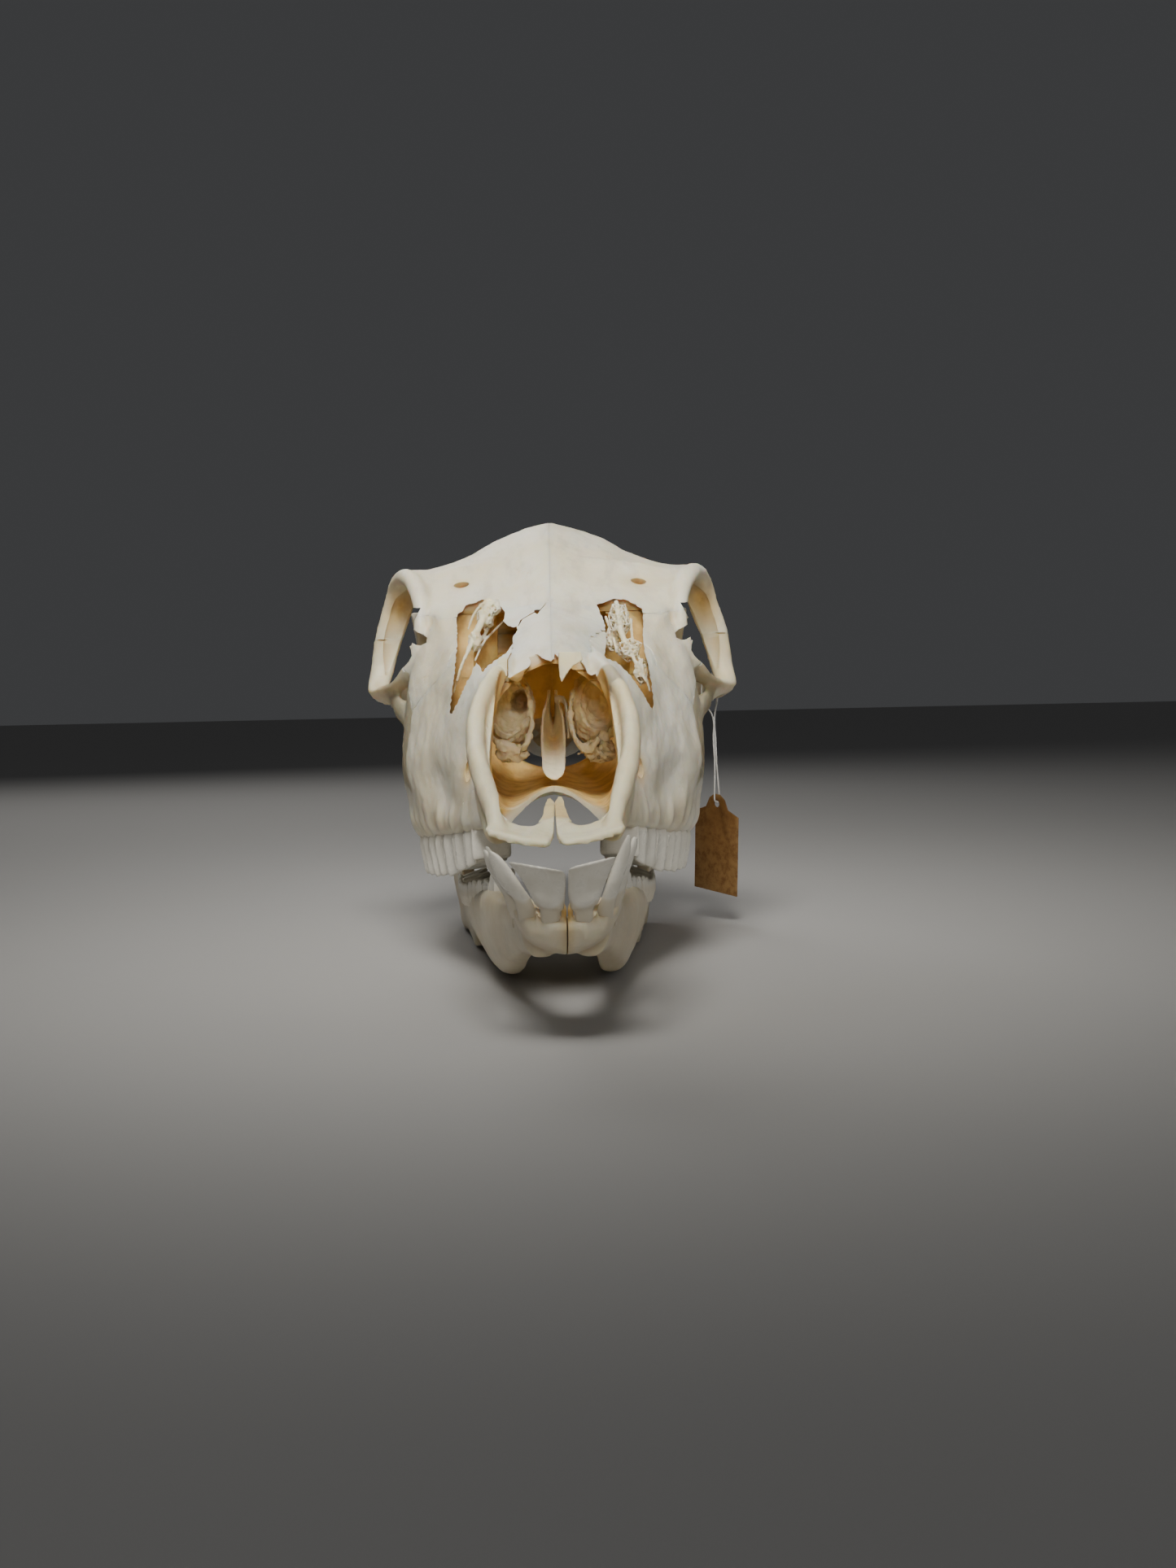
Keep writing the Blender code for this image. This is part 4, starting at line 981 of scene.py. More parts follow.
@dataclass(frozen=True)
class FaceForm:
    """The outer form of the face and forehead, as (y, x, z) lines from the middle of the roof outwards."""

    face: tuple[Line, ...] = (
        ((14, 0, 7.5), (30, 0, 18.5), (45, 0, 29), (60, 0, 39.8), (75, 0, 44.8), (95, 0, 50.6),
         (115, 0, 55.6), (135, 0, 62.5), (152, 0, 73.5)),
        ((14, 12, 5.5), (30, 14.5, 17.5), (45, 14, 28), (60, 10.8, 35.2), (75, 11.6, 39.6),
         (95, 13, 44.8), (115, 17.5, 50), (135, 29.5, 58.8), (152, 37, 67)),
        ((14, 14.3, 3.5), (30, 17, 12), (45, 17.6, 20.5), (60, 16.6, 26.5), (75, 18.6, 30),
         (95, 23.2, 34.5), (115, 29.6, 39.5), (135, 37, 47), (152, 38, 48)),
        ((14, 14, 1.5), (30, 15.8, 5), (45, 15.5, 8), (60, 16, 10), (75, 20, 13), (95, 28, 15),
         (115, 36, 15), (135, 41.2, 17.5), (152, 40, 20)),
        ((14, 12.5, 0), (30, 13, 0), (45, 13.2, 0), (60, 14, 0.3), (75, 19.8, 0), (95, 26, -1.6),
         (115, 32.6, -3.4), (135, 36.8, -4.6), (152, 34, -3)),
        ((14, 8, 0.8), (30, 9, 3.2), (45, 10, 4.8), (60, 10.6, 4.4), (75, 12.4, 2.8), (95, 15.5, 1.2),
         (115, 19, 0), (135, 21.5, -0.8), (152, 20.5, 1)),
        ((14, 0, 2.6), (24, 0, 5.4), (30, 0, 7.4), (45, 0, 9.75), (60, 0, 9), (75, 0, 8.2), (95, 0, 8),
         (115, 0, 8), (135, 0, 8.2), (152, 0, 10)))
    forehead: tuple[Line, ...] = (
        ((122, 0, 57.5), (135, 0, 62.8), (152, 0, 73.6), (165, 0, 80.6), (180, 0, 86.4), (190, 0, 87),
         (200, 0, 85)),
        ((122, 9, 56.3), (135, 12, 62), (152, 14, 72), (165, 14.5, 77.6), (180, 14.5, 82.4),
         (190, 14.5, 82.6), (200, 14, 80.5)),
        ((122, 16.5, 53.4), (135, 21, 60.6), (152, 24, 70.6), (165, 24, 74.2), (180, 23, 77.6),
         (190, 22, 77), (200, 20, 75)),
        ((122, 21.5, 50.8), (135, 29.5, 59.4), (152, 34, 69.4), (165, 35.5, 72), (180, 32, 73),
         (190, 27.5, 71.5), (200, 24, 69)),
        ((122, 24, 49.5), (135, 34.6, 58.4), (145, 38, 66.4), (155, 41, 70.2), (165, 43.4, 70.8),
         (174, 41.8, 70.2), (182, 36.5, 69.3), (190, 30.5, 67), (200, 27, 63)),
        ((122, 22, 48), (135, 32.6, 54.6), (145, 34, 61.8), (155, 38.4, 65.4), (165, 41.6, 66),
         (174, 40, 66), (182, 34.5, 65), (190, 28.5, 62), (200, 25, 58)),
        ((122, 0, 46), (135, 0, 46), (152, 0, 48), (165, 0, 50), (190, 0, 50), (200, 0, 50)))
    cavity: tuple[Line, ...] = (
        ((-6, 0, 32), (30, 0, 44), (56, 0, 46), (60, 0, 37.8), (75, 0, 42.8), (95, 0, 48.6),
         (115, 0, 53.6), (135, 0, 58.5), (144, 0, 58)),
        ((-6, 9, 30), (30, 11.4, 40), (56, 9.4, 42), (60, 9, 33.4), (75, 10, 37.7), (95, 11.4, 42.8),
         (115, 15.5, 47.8), (135, 18, 54), (144, 12, 54)),
        ((-6, 9.6, 16), (14, 11.2, 16), (30, 13.7, 18), (45, 13.2, 24), (56, 13.4, 26.5), (60, 13.8, 26),
         (75, 16.7, 29.5), (95, 21.2, 33.8), (115, 26.5, 38.5), (135, 21, 43), (144, 13, 46)),
        ((-6, 10, 6), (14, 11, 6.4), (30, 13.2, 8.6), (56, 13.6, 11), (60, 13.8, 11.5), (75, 17, 14),
         (95, 21, 17), (115, 21, 20), (135, 16.5, 23), (144, 13, 30)),
        ((-6, 7, 4.2), (14, 7.6, 4.4), (30, 10, 6.2), (56, 10.5, 6.2), (60, 10.5, 6.4), (75, 11, 6.8),
         (95, 12, 8), (115, 12, 10), (135, 10, 13), (144, 9, 26)),
        ((-6, 0, 3.8), (14, 0, 5.2), (24, 0, 7.8), (30, 0, 9.6), (45, 0, 11), (60, 0, 10.6),
         (75, 0, 10.3), (95, 0, 10.2), (115, 0, 11.2), (135, 0, 13.5), (144, 0, 26)))
    ring_points: int = 110
    ring_step: float = 1.5

    def body(self, name: str, lines: tuple[Line, ...]) -> Object:
        """Grows a body through the lines and their mirror images, as far as the first line goes."""
        low, high = lines[0][0][0], lines[0][-1][0]
        rings = []
        for y in np.linspace(low, high, int(round((high - low) / self.ring_step)) + 1):
            half = [Curves.on_line(line, y) for line in lines]
            other = [p * (-1, 1, 1) for p in half[-2:0:-1]]
            rings.append(Curves.through(half + other, self.ring_points, closed=True))
        return Bench.grow(name, rings)


@dataclass(frozen=True)
class BraincaseForm:
    """The form behind the forehead: ovals (y, half breadth, top, bottom) and the bars grown on to them."""

    ovals: Line = (
        (128, 14, 60, 32), (140, 19, 68, 28), (150, 20.5, 74, 25), (160, 22.5, 79, 24),
        (170, 26, 83.5, 23), (180, 29.5, 86, 21.5), (190, 32, 86.3, 20), (202, 34.5, 83, 18.5),
        (214, 35, 77, 18), (224, 33, 70, 18.5), (232, 28, 62, 21), (238, 20, 53, 26))
    base: Line = ((0, 172, 24, 7, 4.5), (0, 195, 21.5, 8, 4.5), (0, 215, 20, 9, 4.5), (0, 236, 22, 12, 5))
    half_crest: Line = (
        (0, 235.5, 61, 2.6, 2.8), (13, 234.5, 58.5, 2.2, 2.4), (24.5, 231.5, 51.5, 2.2, 2.4),
        (31.5, 226, 43, 2.2, 2.4), (33.5, 219, 34, 2.2, 2.4))
    lumps: tuple[tuple[str, Station, Station, Station], ...] = (
        ("occipital condyle", (11.5, 240.5, 26), (7, 7.5, 9.5), (20, 0, -18)),
        ("auditory bulla", (17, 210, 14.5), (6.5, 9, 7), (0, 0, -20)),
        ("cheek tooth wall", (29, 148, 6), (8, 9, 12), (0, 0, 0)))
    ring_points: int = 120
    ring_count: int = 74

    def pieces(self) -> list[Object]:
        """Models the braincase, its base, its crest and the lumps under it."""
        turns = np.linspace(0, 2 * math.pi, self.ring_points, endpoint=False)
        rings = []
        for y in np.linspace(self.ovals[0][0], self.ovals[-1][0], self.ring_count):
            half, top, bottom = Curves.at(self.ovals, y)
            z = (top + bottom) / 2 + (top - bottom) / 2 * np.cos(turns)
            rings.append(np.column_stack((half * np.sin(turns), np.full(len(turns), y), z)))
        crest = [(-x, *rest) for x, *rest in self.half_crest[:0:-1]] + [*self.half_crest]
        made = [Bench.grow("braincase form", rings), Bench.bar("skull base", self.base),
                Bench.bar("nuchal crest", crest)]
        return made + [Bench.ball(*lump, side) for side in Side for lump in self.lumps]


@dataclass(frozen=True)
class Processes:
    """The bars, arches and processes of one side, as stations (x, y, z, half breadth, half height)."""

    nose_arm: Line = (
        (11.4, 4.6, 2.8, 1.7, 1.5), (12.0, 8.5, 6.0, 1.9, 2.4), (13.7, 14, 10.6, 2.1, 3.0),
        (15.2, 20, 14.8, 2.1, 3.3), (16.4, 28, 19.3, 2.1, 3.4), (16.7, 37, 24.8, 2.0, 3.3),
        (15.8, 45, 29.7, 1.9, 3.0), (13.4, 55, 35.0, 1.9, 2.6), (11.4, 64, 38.2, 2.0, 2.2),
        (10.8, 76, 40.6, 2.0, 1.8))
    orbit_rim: Line = (
        (39.4, 149, 67.4, 2.8, 2.4), (42.2, 160, 68.8, 3.2, 2.6), (43.6, 168, 66.2, 4.2, 2.4),
        (45.6, 171.5, 60, 4.4, 2.2), (48.6, 173, 52, 4.0, 2.4), (50.4, 172.5, 43, 3.4, 2.4),
        (51.4, 168, 37.6, 3.0, 1.5), (47.4, 155, 36.6, 2.8, 1.5), (41.8, 143, 38.4, 2.6, 1.8),
        (37.0, 135.5, 46, 2.2, 2.4), (35.4, 134.5, 54, 2.2, 2.4), (36.2, 139, 61.5, 2.4, 2.4))
    cheek_bone: Line = (
        (26, 104, 16, 2.0, 3.0), (34.2, 122, 21.5, 2.6, 4.0), (40.6, 139, 28.6, 2.2, 4.2),
        (46.0, 154, 33.4, 2.0, 3.4), (51.4, 167, 36.2, 2.0, 2.0), (51, 179, 36.2, 1.8, 2.8),
        (48, 191, 36.8, 1.9, 3.8), (43.5, 200, 38.2, 2.6, 3.6), (36, 207, 39.5, 4.0, 4.2),
        (29, 211, 39, 4.5, 4.5))
    paracondyle: Line = (
        (25.5, 227, 34, 4.5, 4.5), (26.6, 232, 22, 2.6, 4.2), (25.6, 233.5, 12, 2.0, 3.2),
        (24, 233, 3.5, 1.5, 2.0))
    ear_tube: Line = ((25, 211, 25, 4, 4), (32, 213, 29, 3.6, 3.6), (37.5, 215.5, 32.5, 3.2, 3.2))
    pterygoid: Line = (
        (12.6, 142, 4, 1.6, 4.5), (13, 152, 9, 1.4, 8), (12.6, 163, 13.5, 1.3, 9.5),
        (12, 174, 16, 1.3, 9), (13, 184, 19, 1.6, 6))
    hamulus: Line = ((12.4, 165, 9, 1.3, 3), (11.8, 173, 4.5, 1.2, 1.8), (11.5, 179, 2, 1.0, 1.2))
    front_plate: Line = (
        (0.0, 12), (0.35, 6), (0.85, 1.0), (1.4, -0.3), (2.4, -0.5), (5.0, 0.2), (9.5, 1.2), (13.6, 2.6),
        (13.9, 4.4), (13.2, 7.0), (12.6, 12), (10.2, 12.6), (8.6, 11.6), (7, 10.5), (4.8, 10.8),
        (3.4, 11.8), (2.7, 16), (2.3, 22), (2.1, 27.5), (1.4, 30.8), (0.5, 31), (0.0, 28))
    plate_thickness: float = 1.6
    plate_slopes: Span = (0.1745, 0.0035)
    plate_lift: float = 1.9
    plate_half: float = 13.4
    plate_fray: Span = (0.7, 0.12)
    tubercles: Line = (
        (36.6, 139.5, 56.4, 2.6, 3.0, 2.8), (36.2, 137.5, 49.6, 2.4, 2.6, 1.5),
        (38.4, 138.4, 47.6, 2.4, 1.2, 0.8))

    def pieces(self, side: Side) -> list[Object]:
        """Models everything that grows out of one side of the skull."""
        made = [Bench.bar("orbit rim", self.orbit_rim, side, closed=True)]
        for name in ("cheek_bone", "nose_arm", "paracondyle", "ear_tube", "pterygoid", "hamulus"):
            made.append(Bench.bar(name.replace("_", " "), getattr(self, name), side))
        fine = Curves.frayed(self.front_plate, *self.plate_fray, SEED)
        plate = Bench.prism("front plate", fine, 0.0, self.plate_thickness, "z", side)
        places = Bench.points(plate)
        linear, square = self.plate_slopes
        places[:, 2] += linear * places[:, 1] + square * places[:, 1] ** 2
        places[:, 2] += self.plate_lift * (places[:, 0] / self.plate_half) ** 2
        Bench.moved(plate, places)
        made.append(plate)
        for x, y, z, *radii in self.tubercles:
            made.append(Bench.ball("lacrimal tubercle", (x, y, z), radii, side=side))
        return made


@dataclass(frozen=True)
class Openings:
    """The holes through the walls of the skull.

    The broken edges that the photograph shows are outlines in its pixels, cut along the line of sight.
    The views say for each the two depths in the skull that it is cut between, how far its edge is frayed
    in pixels, and whether it is for the other side. The others are outlines from above and canals.
    """

    views: tuple[tuple[str, Span, float, bool], ...] = (
        ("vacuity_right", (70.0, 134.0), 0.9, False), ("vacuity_left", (70.0, 134.0), 0.7, False),
        ("nostril", (30.0, 66.0), 0.5, False), ("chink", (96.0, 122.0), 0.3, False),
        ("lacrimal_notches", (118.0, 147.0), 0.3, False), ("lacrimal_notches", (118.0, 147.0), 0.3, True))

    vacuity_right: Line = (
        (562, 755), (569, 750), (572, 744), (583, 741), (594, 737), (607, 740), (614, 745), (619, 750),
        (620, 756), (618, 763), (623, 768), (631, 771), (635, 770), (636, 774), (632, 780), (630, 787),
        (631, 791), (627, 795), (620, 804), (610, 811), (601, 817), (593, 826), (590, 820), (585, 814),
        (580, 826), (573, 839), (564, 859), (556, 877), (552.5, 876), (554, 863), (557, 841), (560, 811),
        (562, 783), (561, 765))
    vacuity_left: Line = (
        (733, 743), (743, 740), (753, 736), (768, 737), (779, 742), (789, 748), (790, 761), (790, 778),
        (791, 793), (793, 804), (797, 820), (800, 837), (803, 861), (802, 873), (798, 866), (790, 852),
        (780, 837), (769, 824), (758, 814), (743, 808), (745, 789), (744, 774), (742, 763), (737, 753))
    nostril: Line = (
        (622, 830), (629, 836), (637, 839), (641, 835), (644, 826), (651, 818), (652, 813), (650, 807),
        (656, 804), (661, 804), (666, 809), (677, 813), (681, 809), (681.5, 803), (685, 807), (690, 807),
        (693, 804), (697, 800), (704, 799), (709, 801), (714, 806), (713, 812), (718, 818), (722, 828),
        (727, 830), (732, 828), (748, 868), (748, 900), (610, 900), (610, 868))
    chink: Line = ((656, 750), (660, 749), (663.5, 749.5), (662, 753), (660, 755), (657, 753))
    crack_depth: Span = (50.0, 124.0)
    crack_fray: float = 0.15
    cracks: tuple[Line, ...] = (
        ((657, 752.6), (651, 756), (642, 761), (637.5, 769), (636, 770), (639.5, 762), (650, 755.4),
         (657, 751.4)),
        ((663, 750), (668, 744), (672, 738), (671.8, 729), (672.7, 729), (673, 738.5), (668.8, 744.8),
         (663, 751)),
        ((629, 803), (624.4, 811), (624.6, 832), (623.2, 832), (623.2, 811), (628, 802)))
    lacrimal_notches: Line = (
        (517, 747), (511, 759), (506.5, 768), (508, 774), (514, 777.5), (520, 779.5), (525, 784),
        (524, 790), (518, 793), (511, 792.5), (505.5, 789), (500.5, 785), (503, 792), (505, 799),
        (506, 806), (502.5, 813), (497, 819), (490, 826), (480, 826), (480, 747))
    edge_pitch: float = 2.4
    fissure_fray: Span = (1.2, 0.12)
    fissure_heights: Span = (-4, 12)
    notch_heights: Span = (-4, 9)
    vessel_depth: float = 2.5
    vessel_turn: Station = (0, 0, 20)
    fissures: Line = (
        (3.4, 12.2), (4.8, 11.2), (7, 10.9), (8.8, 12.2), (10.2, 15), (11.3, 22), (11.6, 32), (9.5, 34.5),
        (6.5, 38.5), (4, 42), (1.6, 44.5), (0, 45.3), (-1.6, 44.5), (-4, 42), (-6.5, 38.5), (-9.5, 34.5),
        (-11.6, 32), (-11.3, 22), (-10.2, 15), (-8.8, 12.2), (-7, 10.9), (-4.8, 11.2), (-3.4, 12.2),
        (-2.6, 17), (-2.2, 22), (-1.9, 25.2), (-1.5, 27.3), (-0.9, 27.7), (0, 24.4), (0.8, 28.5),
        (1.5, 28.8), (2.0, 26), (2.2, 22), (2.8, 17))
    half_notch: Line = ((0.12, 23.6), (0.24, 12), (0.4, 6), (0.9, 1.4), (1.5, -0.2), (1.7, -3))
    choana: Line = (
        (0, 132, 21, 12.5, 7), (0, 150, 20, 11.6, 7.5), (0, 172, 14, 11, 9), (0, 182, 10, 10, 9))
    foramen_magnum: Line = ((0, 218, 37, 9, 8.5), (0, 232, 34, 8.5, 8), (0, 252, 30, 8.5, 8.5))
    infraorbital: Line = ((25.6, 72, 13.8, 2.2, 3.0), (21.6, 79.5, 14.2, 2.0, 2.8), (16, 90, 15.5, 1.5, 2))
    supraorbital: Line = (
        (25.4, 137, 69.4, 2.6, 1.9), (24.8, 144, 65.2, 2.2, 1.6), (24.2, 153, 60, 1.2, 1.2))
    ear_canal: Line = ((27, 211.6, 26.6, 1.5, 1.5), (46, 219, 38, 2, 2))
    vessel_holes: Line = (
        (21.5, 74, 9.6, 0.55), (20.4, 70, 7.4, 0.5), (23.4, 80, 6.5, 0.45), (31, 131, 52, 0.5),
        (39, 140, 33, 0.5))

    def sight(self, name: str, outline: Line, depth: Span, photo: Photograph, stand: Stand, fray: float,
              mirrored: bool = False) -> Object:
        """Grows a cutter along the line of sight through an outline in the photograph.

        Args:
            name: The cutter's name.
            outline: The outline in pixels.
            depth: Between which depths of the skull it cuts.
            photo: The photograph's camera.
            stand: How the skull stands.
            fray: How far the outline's edge is frayed, in pixels.
            mirrored: Whether the cutter is for the other side.

        Returns:
            The cutter.
        """
        fine = Curves.frayed(outline, self.edge_pitch, fray, SEED)
        turned = np.array((-1.0 if mirrored else 1.0, 1, 1))
        return Bench.grow(name, [np.array([photo.place(u, v, y, stand) for u, v in fine]) * turned
                                 for y in depth])

    def cutters(self, photo: Photograph, stand: Stand) -> list[Object]:
        """Models the cutters of the holes, joined into two that each hold only separate bodies."""
        notch = [*self.half_notch, *((-x, y) for x, y in reversed(self.half_notch))]
        holes = [
            *(self.sight(name, getattr(self, name), depth, photo, stand, fray, mirrored)
              for name, depth, fray, mirrored in self.views),
            Bench.prism("palate fissures", Curves.frayed(self.fissures, *self.fissure_fray, SEED),
                        *self.fissure_heights, "z"),
            Bench.prism("front notch", notch, *self.notch_heights, "z"),
        ]
        for side in Side:
            for name in ("infraorbital", "supraorbital", "ear_canal"):
                holes.append(Bench.bar(name.replace("_", " "), getattr(self, name), side))
            for x, y, z, radius in self.vessel_holes:
                radii = (self.vessel_depth, radius, radius)
                holes.append(
                    Bench.ball("vessel hole", (x, y, z), radii, self.vessel_turn, side, fineness=3))
        cracks = [self.sight("crack", crack, self.crack_depth, photo, stand, self.crack_fray)
                  for crack in self.cracks]
        return [Bench.joined("holes", holes), Bench.joined("cracks", cracks)]


@dataclass(frozen=True)
class Sutures:
    """Where the skull is parted into its bones: outlines from the side (y, z)."""

    gap: float = 0.14
    midline_gap: float = 0.03
    wave: float = 0.35
    wave_pitch: float = 1.1
    face_breadth: float = 75
    sharpest_corner: float = 0.5
    nasal: Line = ((48, 29), (60, 34.6), (75, 41), (95, 46.6), (112, 50), (124, 54.5), (127, 90), (48, 90))
    premaxilla: Line = (
        (-10, -10), (32.4, -10), (32.4, 12), (35.4, 15.6), (48, 24), (62, 33), (79, 42), (75, 41),
        (60, 34.8), (46, 50), (-10, 40))
    frontal: Line = (
        (124, 54.5), (131, 55.5), (140, 57.5), (152, 52), (181, 52), (186, 66), (191, 95), (124, 95))
    zygomatic: Line = (
        (119, 8), (124, 30), (133, 38), (141, 44), (152, 52), (181, 52), (186, 40), (186, 24), (150, 14))
    lacrimal: Line = (
        (112, 40), (124, 30), (133, 38), (141, 44), (152, 52), (140, 57.5), (131, 55.5), (121, 53.5))
    maxilla: Line = (
        (32.4, -20), (190, -20), (190, 10), (152, 18), (152, 52), (141, 44), (133, 38), (124, 30),
        (112, 40), (121, 53.5), (124, 54.5), (112, 50), (95, 46.6), (79, 42), (62, 33), (48, 24),
        (35.4, 15.6), (32.4, 12), (32.4, -10))
    from_and_to: tuple[tuple[str, float, float], ...] = (
        ("maxilla", 0, 60), ("frontal", 0, 60), ("zygomatic", 33, 70), ("premaxilla", 0, 40),
        ("nasal", 0, 60), ("lacrimal", 15, 70))
    face_block: Line = ((-20, -30), (196, -30), (196, 110), (-20, 110))

    @staticmethod
    def inset(outline: np.ndarray, distance: float) -> np.ndarray:
        """Moves an outline inwards by a distance."""
        after = np.roll(outline, -1, axis=0)
        turn = np.sign(np.sum(outline[:, 0] * after[:, 1] - after[:, 0] * outline[:, 1]))
        ahead = after - outline
        normals = np.column_stack((-ahead[:, 1], ahead[:, 0])) * turn
        normals /= np.linalg.norm(ahead, axis=1)[:, None]
        before = np.roll(normals, 1, axis=0)
        spread = np.maximum(Sutures.sharpest_corner, 1 + np.sum(before * normals, axis=1))[:, None]
        return outline + (before + normals) * distance / spread

    def parted(self, skull: Object) -> dict[str, Object]:
        """Parts the skull along the sutures.

        Args:
            skull: The whole carved skull, which becomes the braincase.

        Returns:
            The bones by node name.
        """
        bones = {}
        half = self.gap / 2
        faces = {}
        for side in Side:
            block = Bench.prism("face block", self.face_block, 0, self.face_breadth, "x", side)
            faces[side] = Bench.carved(Bench.copied(skull, "half face"), [block], "INTERSECT")
        for number, (name, low, high) in enumerate(self.from_and_to):
            wavy = Curves.frayed(getattr(self, name), self.wave_pitch, self.wave, SEED + number)
            for side in Side:
                start = low + half if low else self.midline_gap / 2
                region = Bench.prism("region", self.inset(wavy, half), start, high - half, "x", side)
                node = f"{name}_{side.word}"
                taken = Bench.copied(faces[side], node + "_bone")
                bones[node] = Bench.carved(taken, [region], "INTERSECT")
            ranges = ((low - half, high), (-high, half - low)) if low else ((-high, high),)
            for start, end in ranges:
                region = Bench.prism("whole region", self.inset(wavy, -half), start, end, "x")
                Bench.carved(skull, [region])
        Bench.removed(*faces.values())
        skull.name = "braincase_bone"
        bones["braincase"] = skull
        return {name: Bench.largest(obj) for name, obj in bones.items()}


class Wear:
    """What is measured on the points of a finished piece for its finish to read."""

    SMOOTHING = 0.65
    DEEPEST = 6.0
    LINING_REACH = 0.4
    LINING_NEAR = 0.2
    LINING_STAIN = 0.85
    LINING_FROM = 34
    LINING_FADE = 16
    RISE_AT_GUM = 0.36

    @staticmethod
    def crevices(obj: Object, rounds: int = 14) -> np.ndarray:
        """Measures how far each point stands out of its smoothed surroundings, in millimetres."""
        points = Bench.points(obj)
        ends = np.empty(len(obj.data.edges) * 2, np.int32)
        obj.data.edges.foreach_get("vertices", ends)
        first, second = ends.reshape(-1, 2).T
        count = np.maximum(np.bincount(ends, minlength=len(points)), 1)[:, None]
        smooth = points
        for _ in range(rounds):
            total = np.column_stack([
                np.bincount(first, smooth[second, axis], len(points))
                + np.bincount(second, smooth[first, axis], len(points)) for axis in range(3)])
            smooth = (1 - Wear.SMOOTHING) * smooth + Wear.SMOOTHING * total / count
        return np.sum((points - smooth) * Bench.normals(obj), axis=1)

    @staticmethod
    def bone(obj: Object, skin: BVHTree | None, stains: Sequence[Swelling] = (),
             linings: Sequence[BVHTree] = ()) -> None:
        """Stores what bone's finish reads.

        Args:
            obj: The bone, in the skull's frame.
            skin: The surface of the skull before anything was carved into it.
            stains: Where the bone is browner, from stains and from painted shade.
            linings: The surfaces of the hollows inside the skull, near which the bone is browner further
                back: stain and painted shade.
        """
        points = Bench.points(obj)
        depth = np.zeros(len(points)) if skin is None else Bench.distances(obj, skin, Wear.DEEPEST)
        stain = np.zeros(len(points))
        # Browner along the walls of the nose, fading in further back: stain and painted shade deeper
        # inside.
        for lining in linings:
            near = Bench.distances(obj, lining, Wear.LINING_REACH) < Wear.LINING_NEAR
            inside = np.clip((points[:, 1] - Wear.LINING_FROM) / Wear.LINING_FADE, 0, 1)
            stain += near * inside * Wear.LINING_STAIN
        for spot in stains:
            stain += spot.lift(points)
        Bench.measured(obj, "crevice", Wear.crevices(obj))
        Bench.measured(obj, "depth", depth)
        Bench.measured(obj, "stain", np.clip(stain, 0, 1))

    @staticmethod
    def enamel(obj: Object, name: str, stand: Matrix, paint: Material) -> None:
        """Names a row of teeth that knows its rise, measures its crevices and hands it over."""
        obj.name = name
        Bench.measured(obj, "crevice", Wear.crevices(obj, rounds=10))
        Bench.delivered(obj, stand, paint, Slot.ENAMEL)


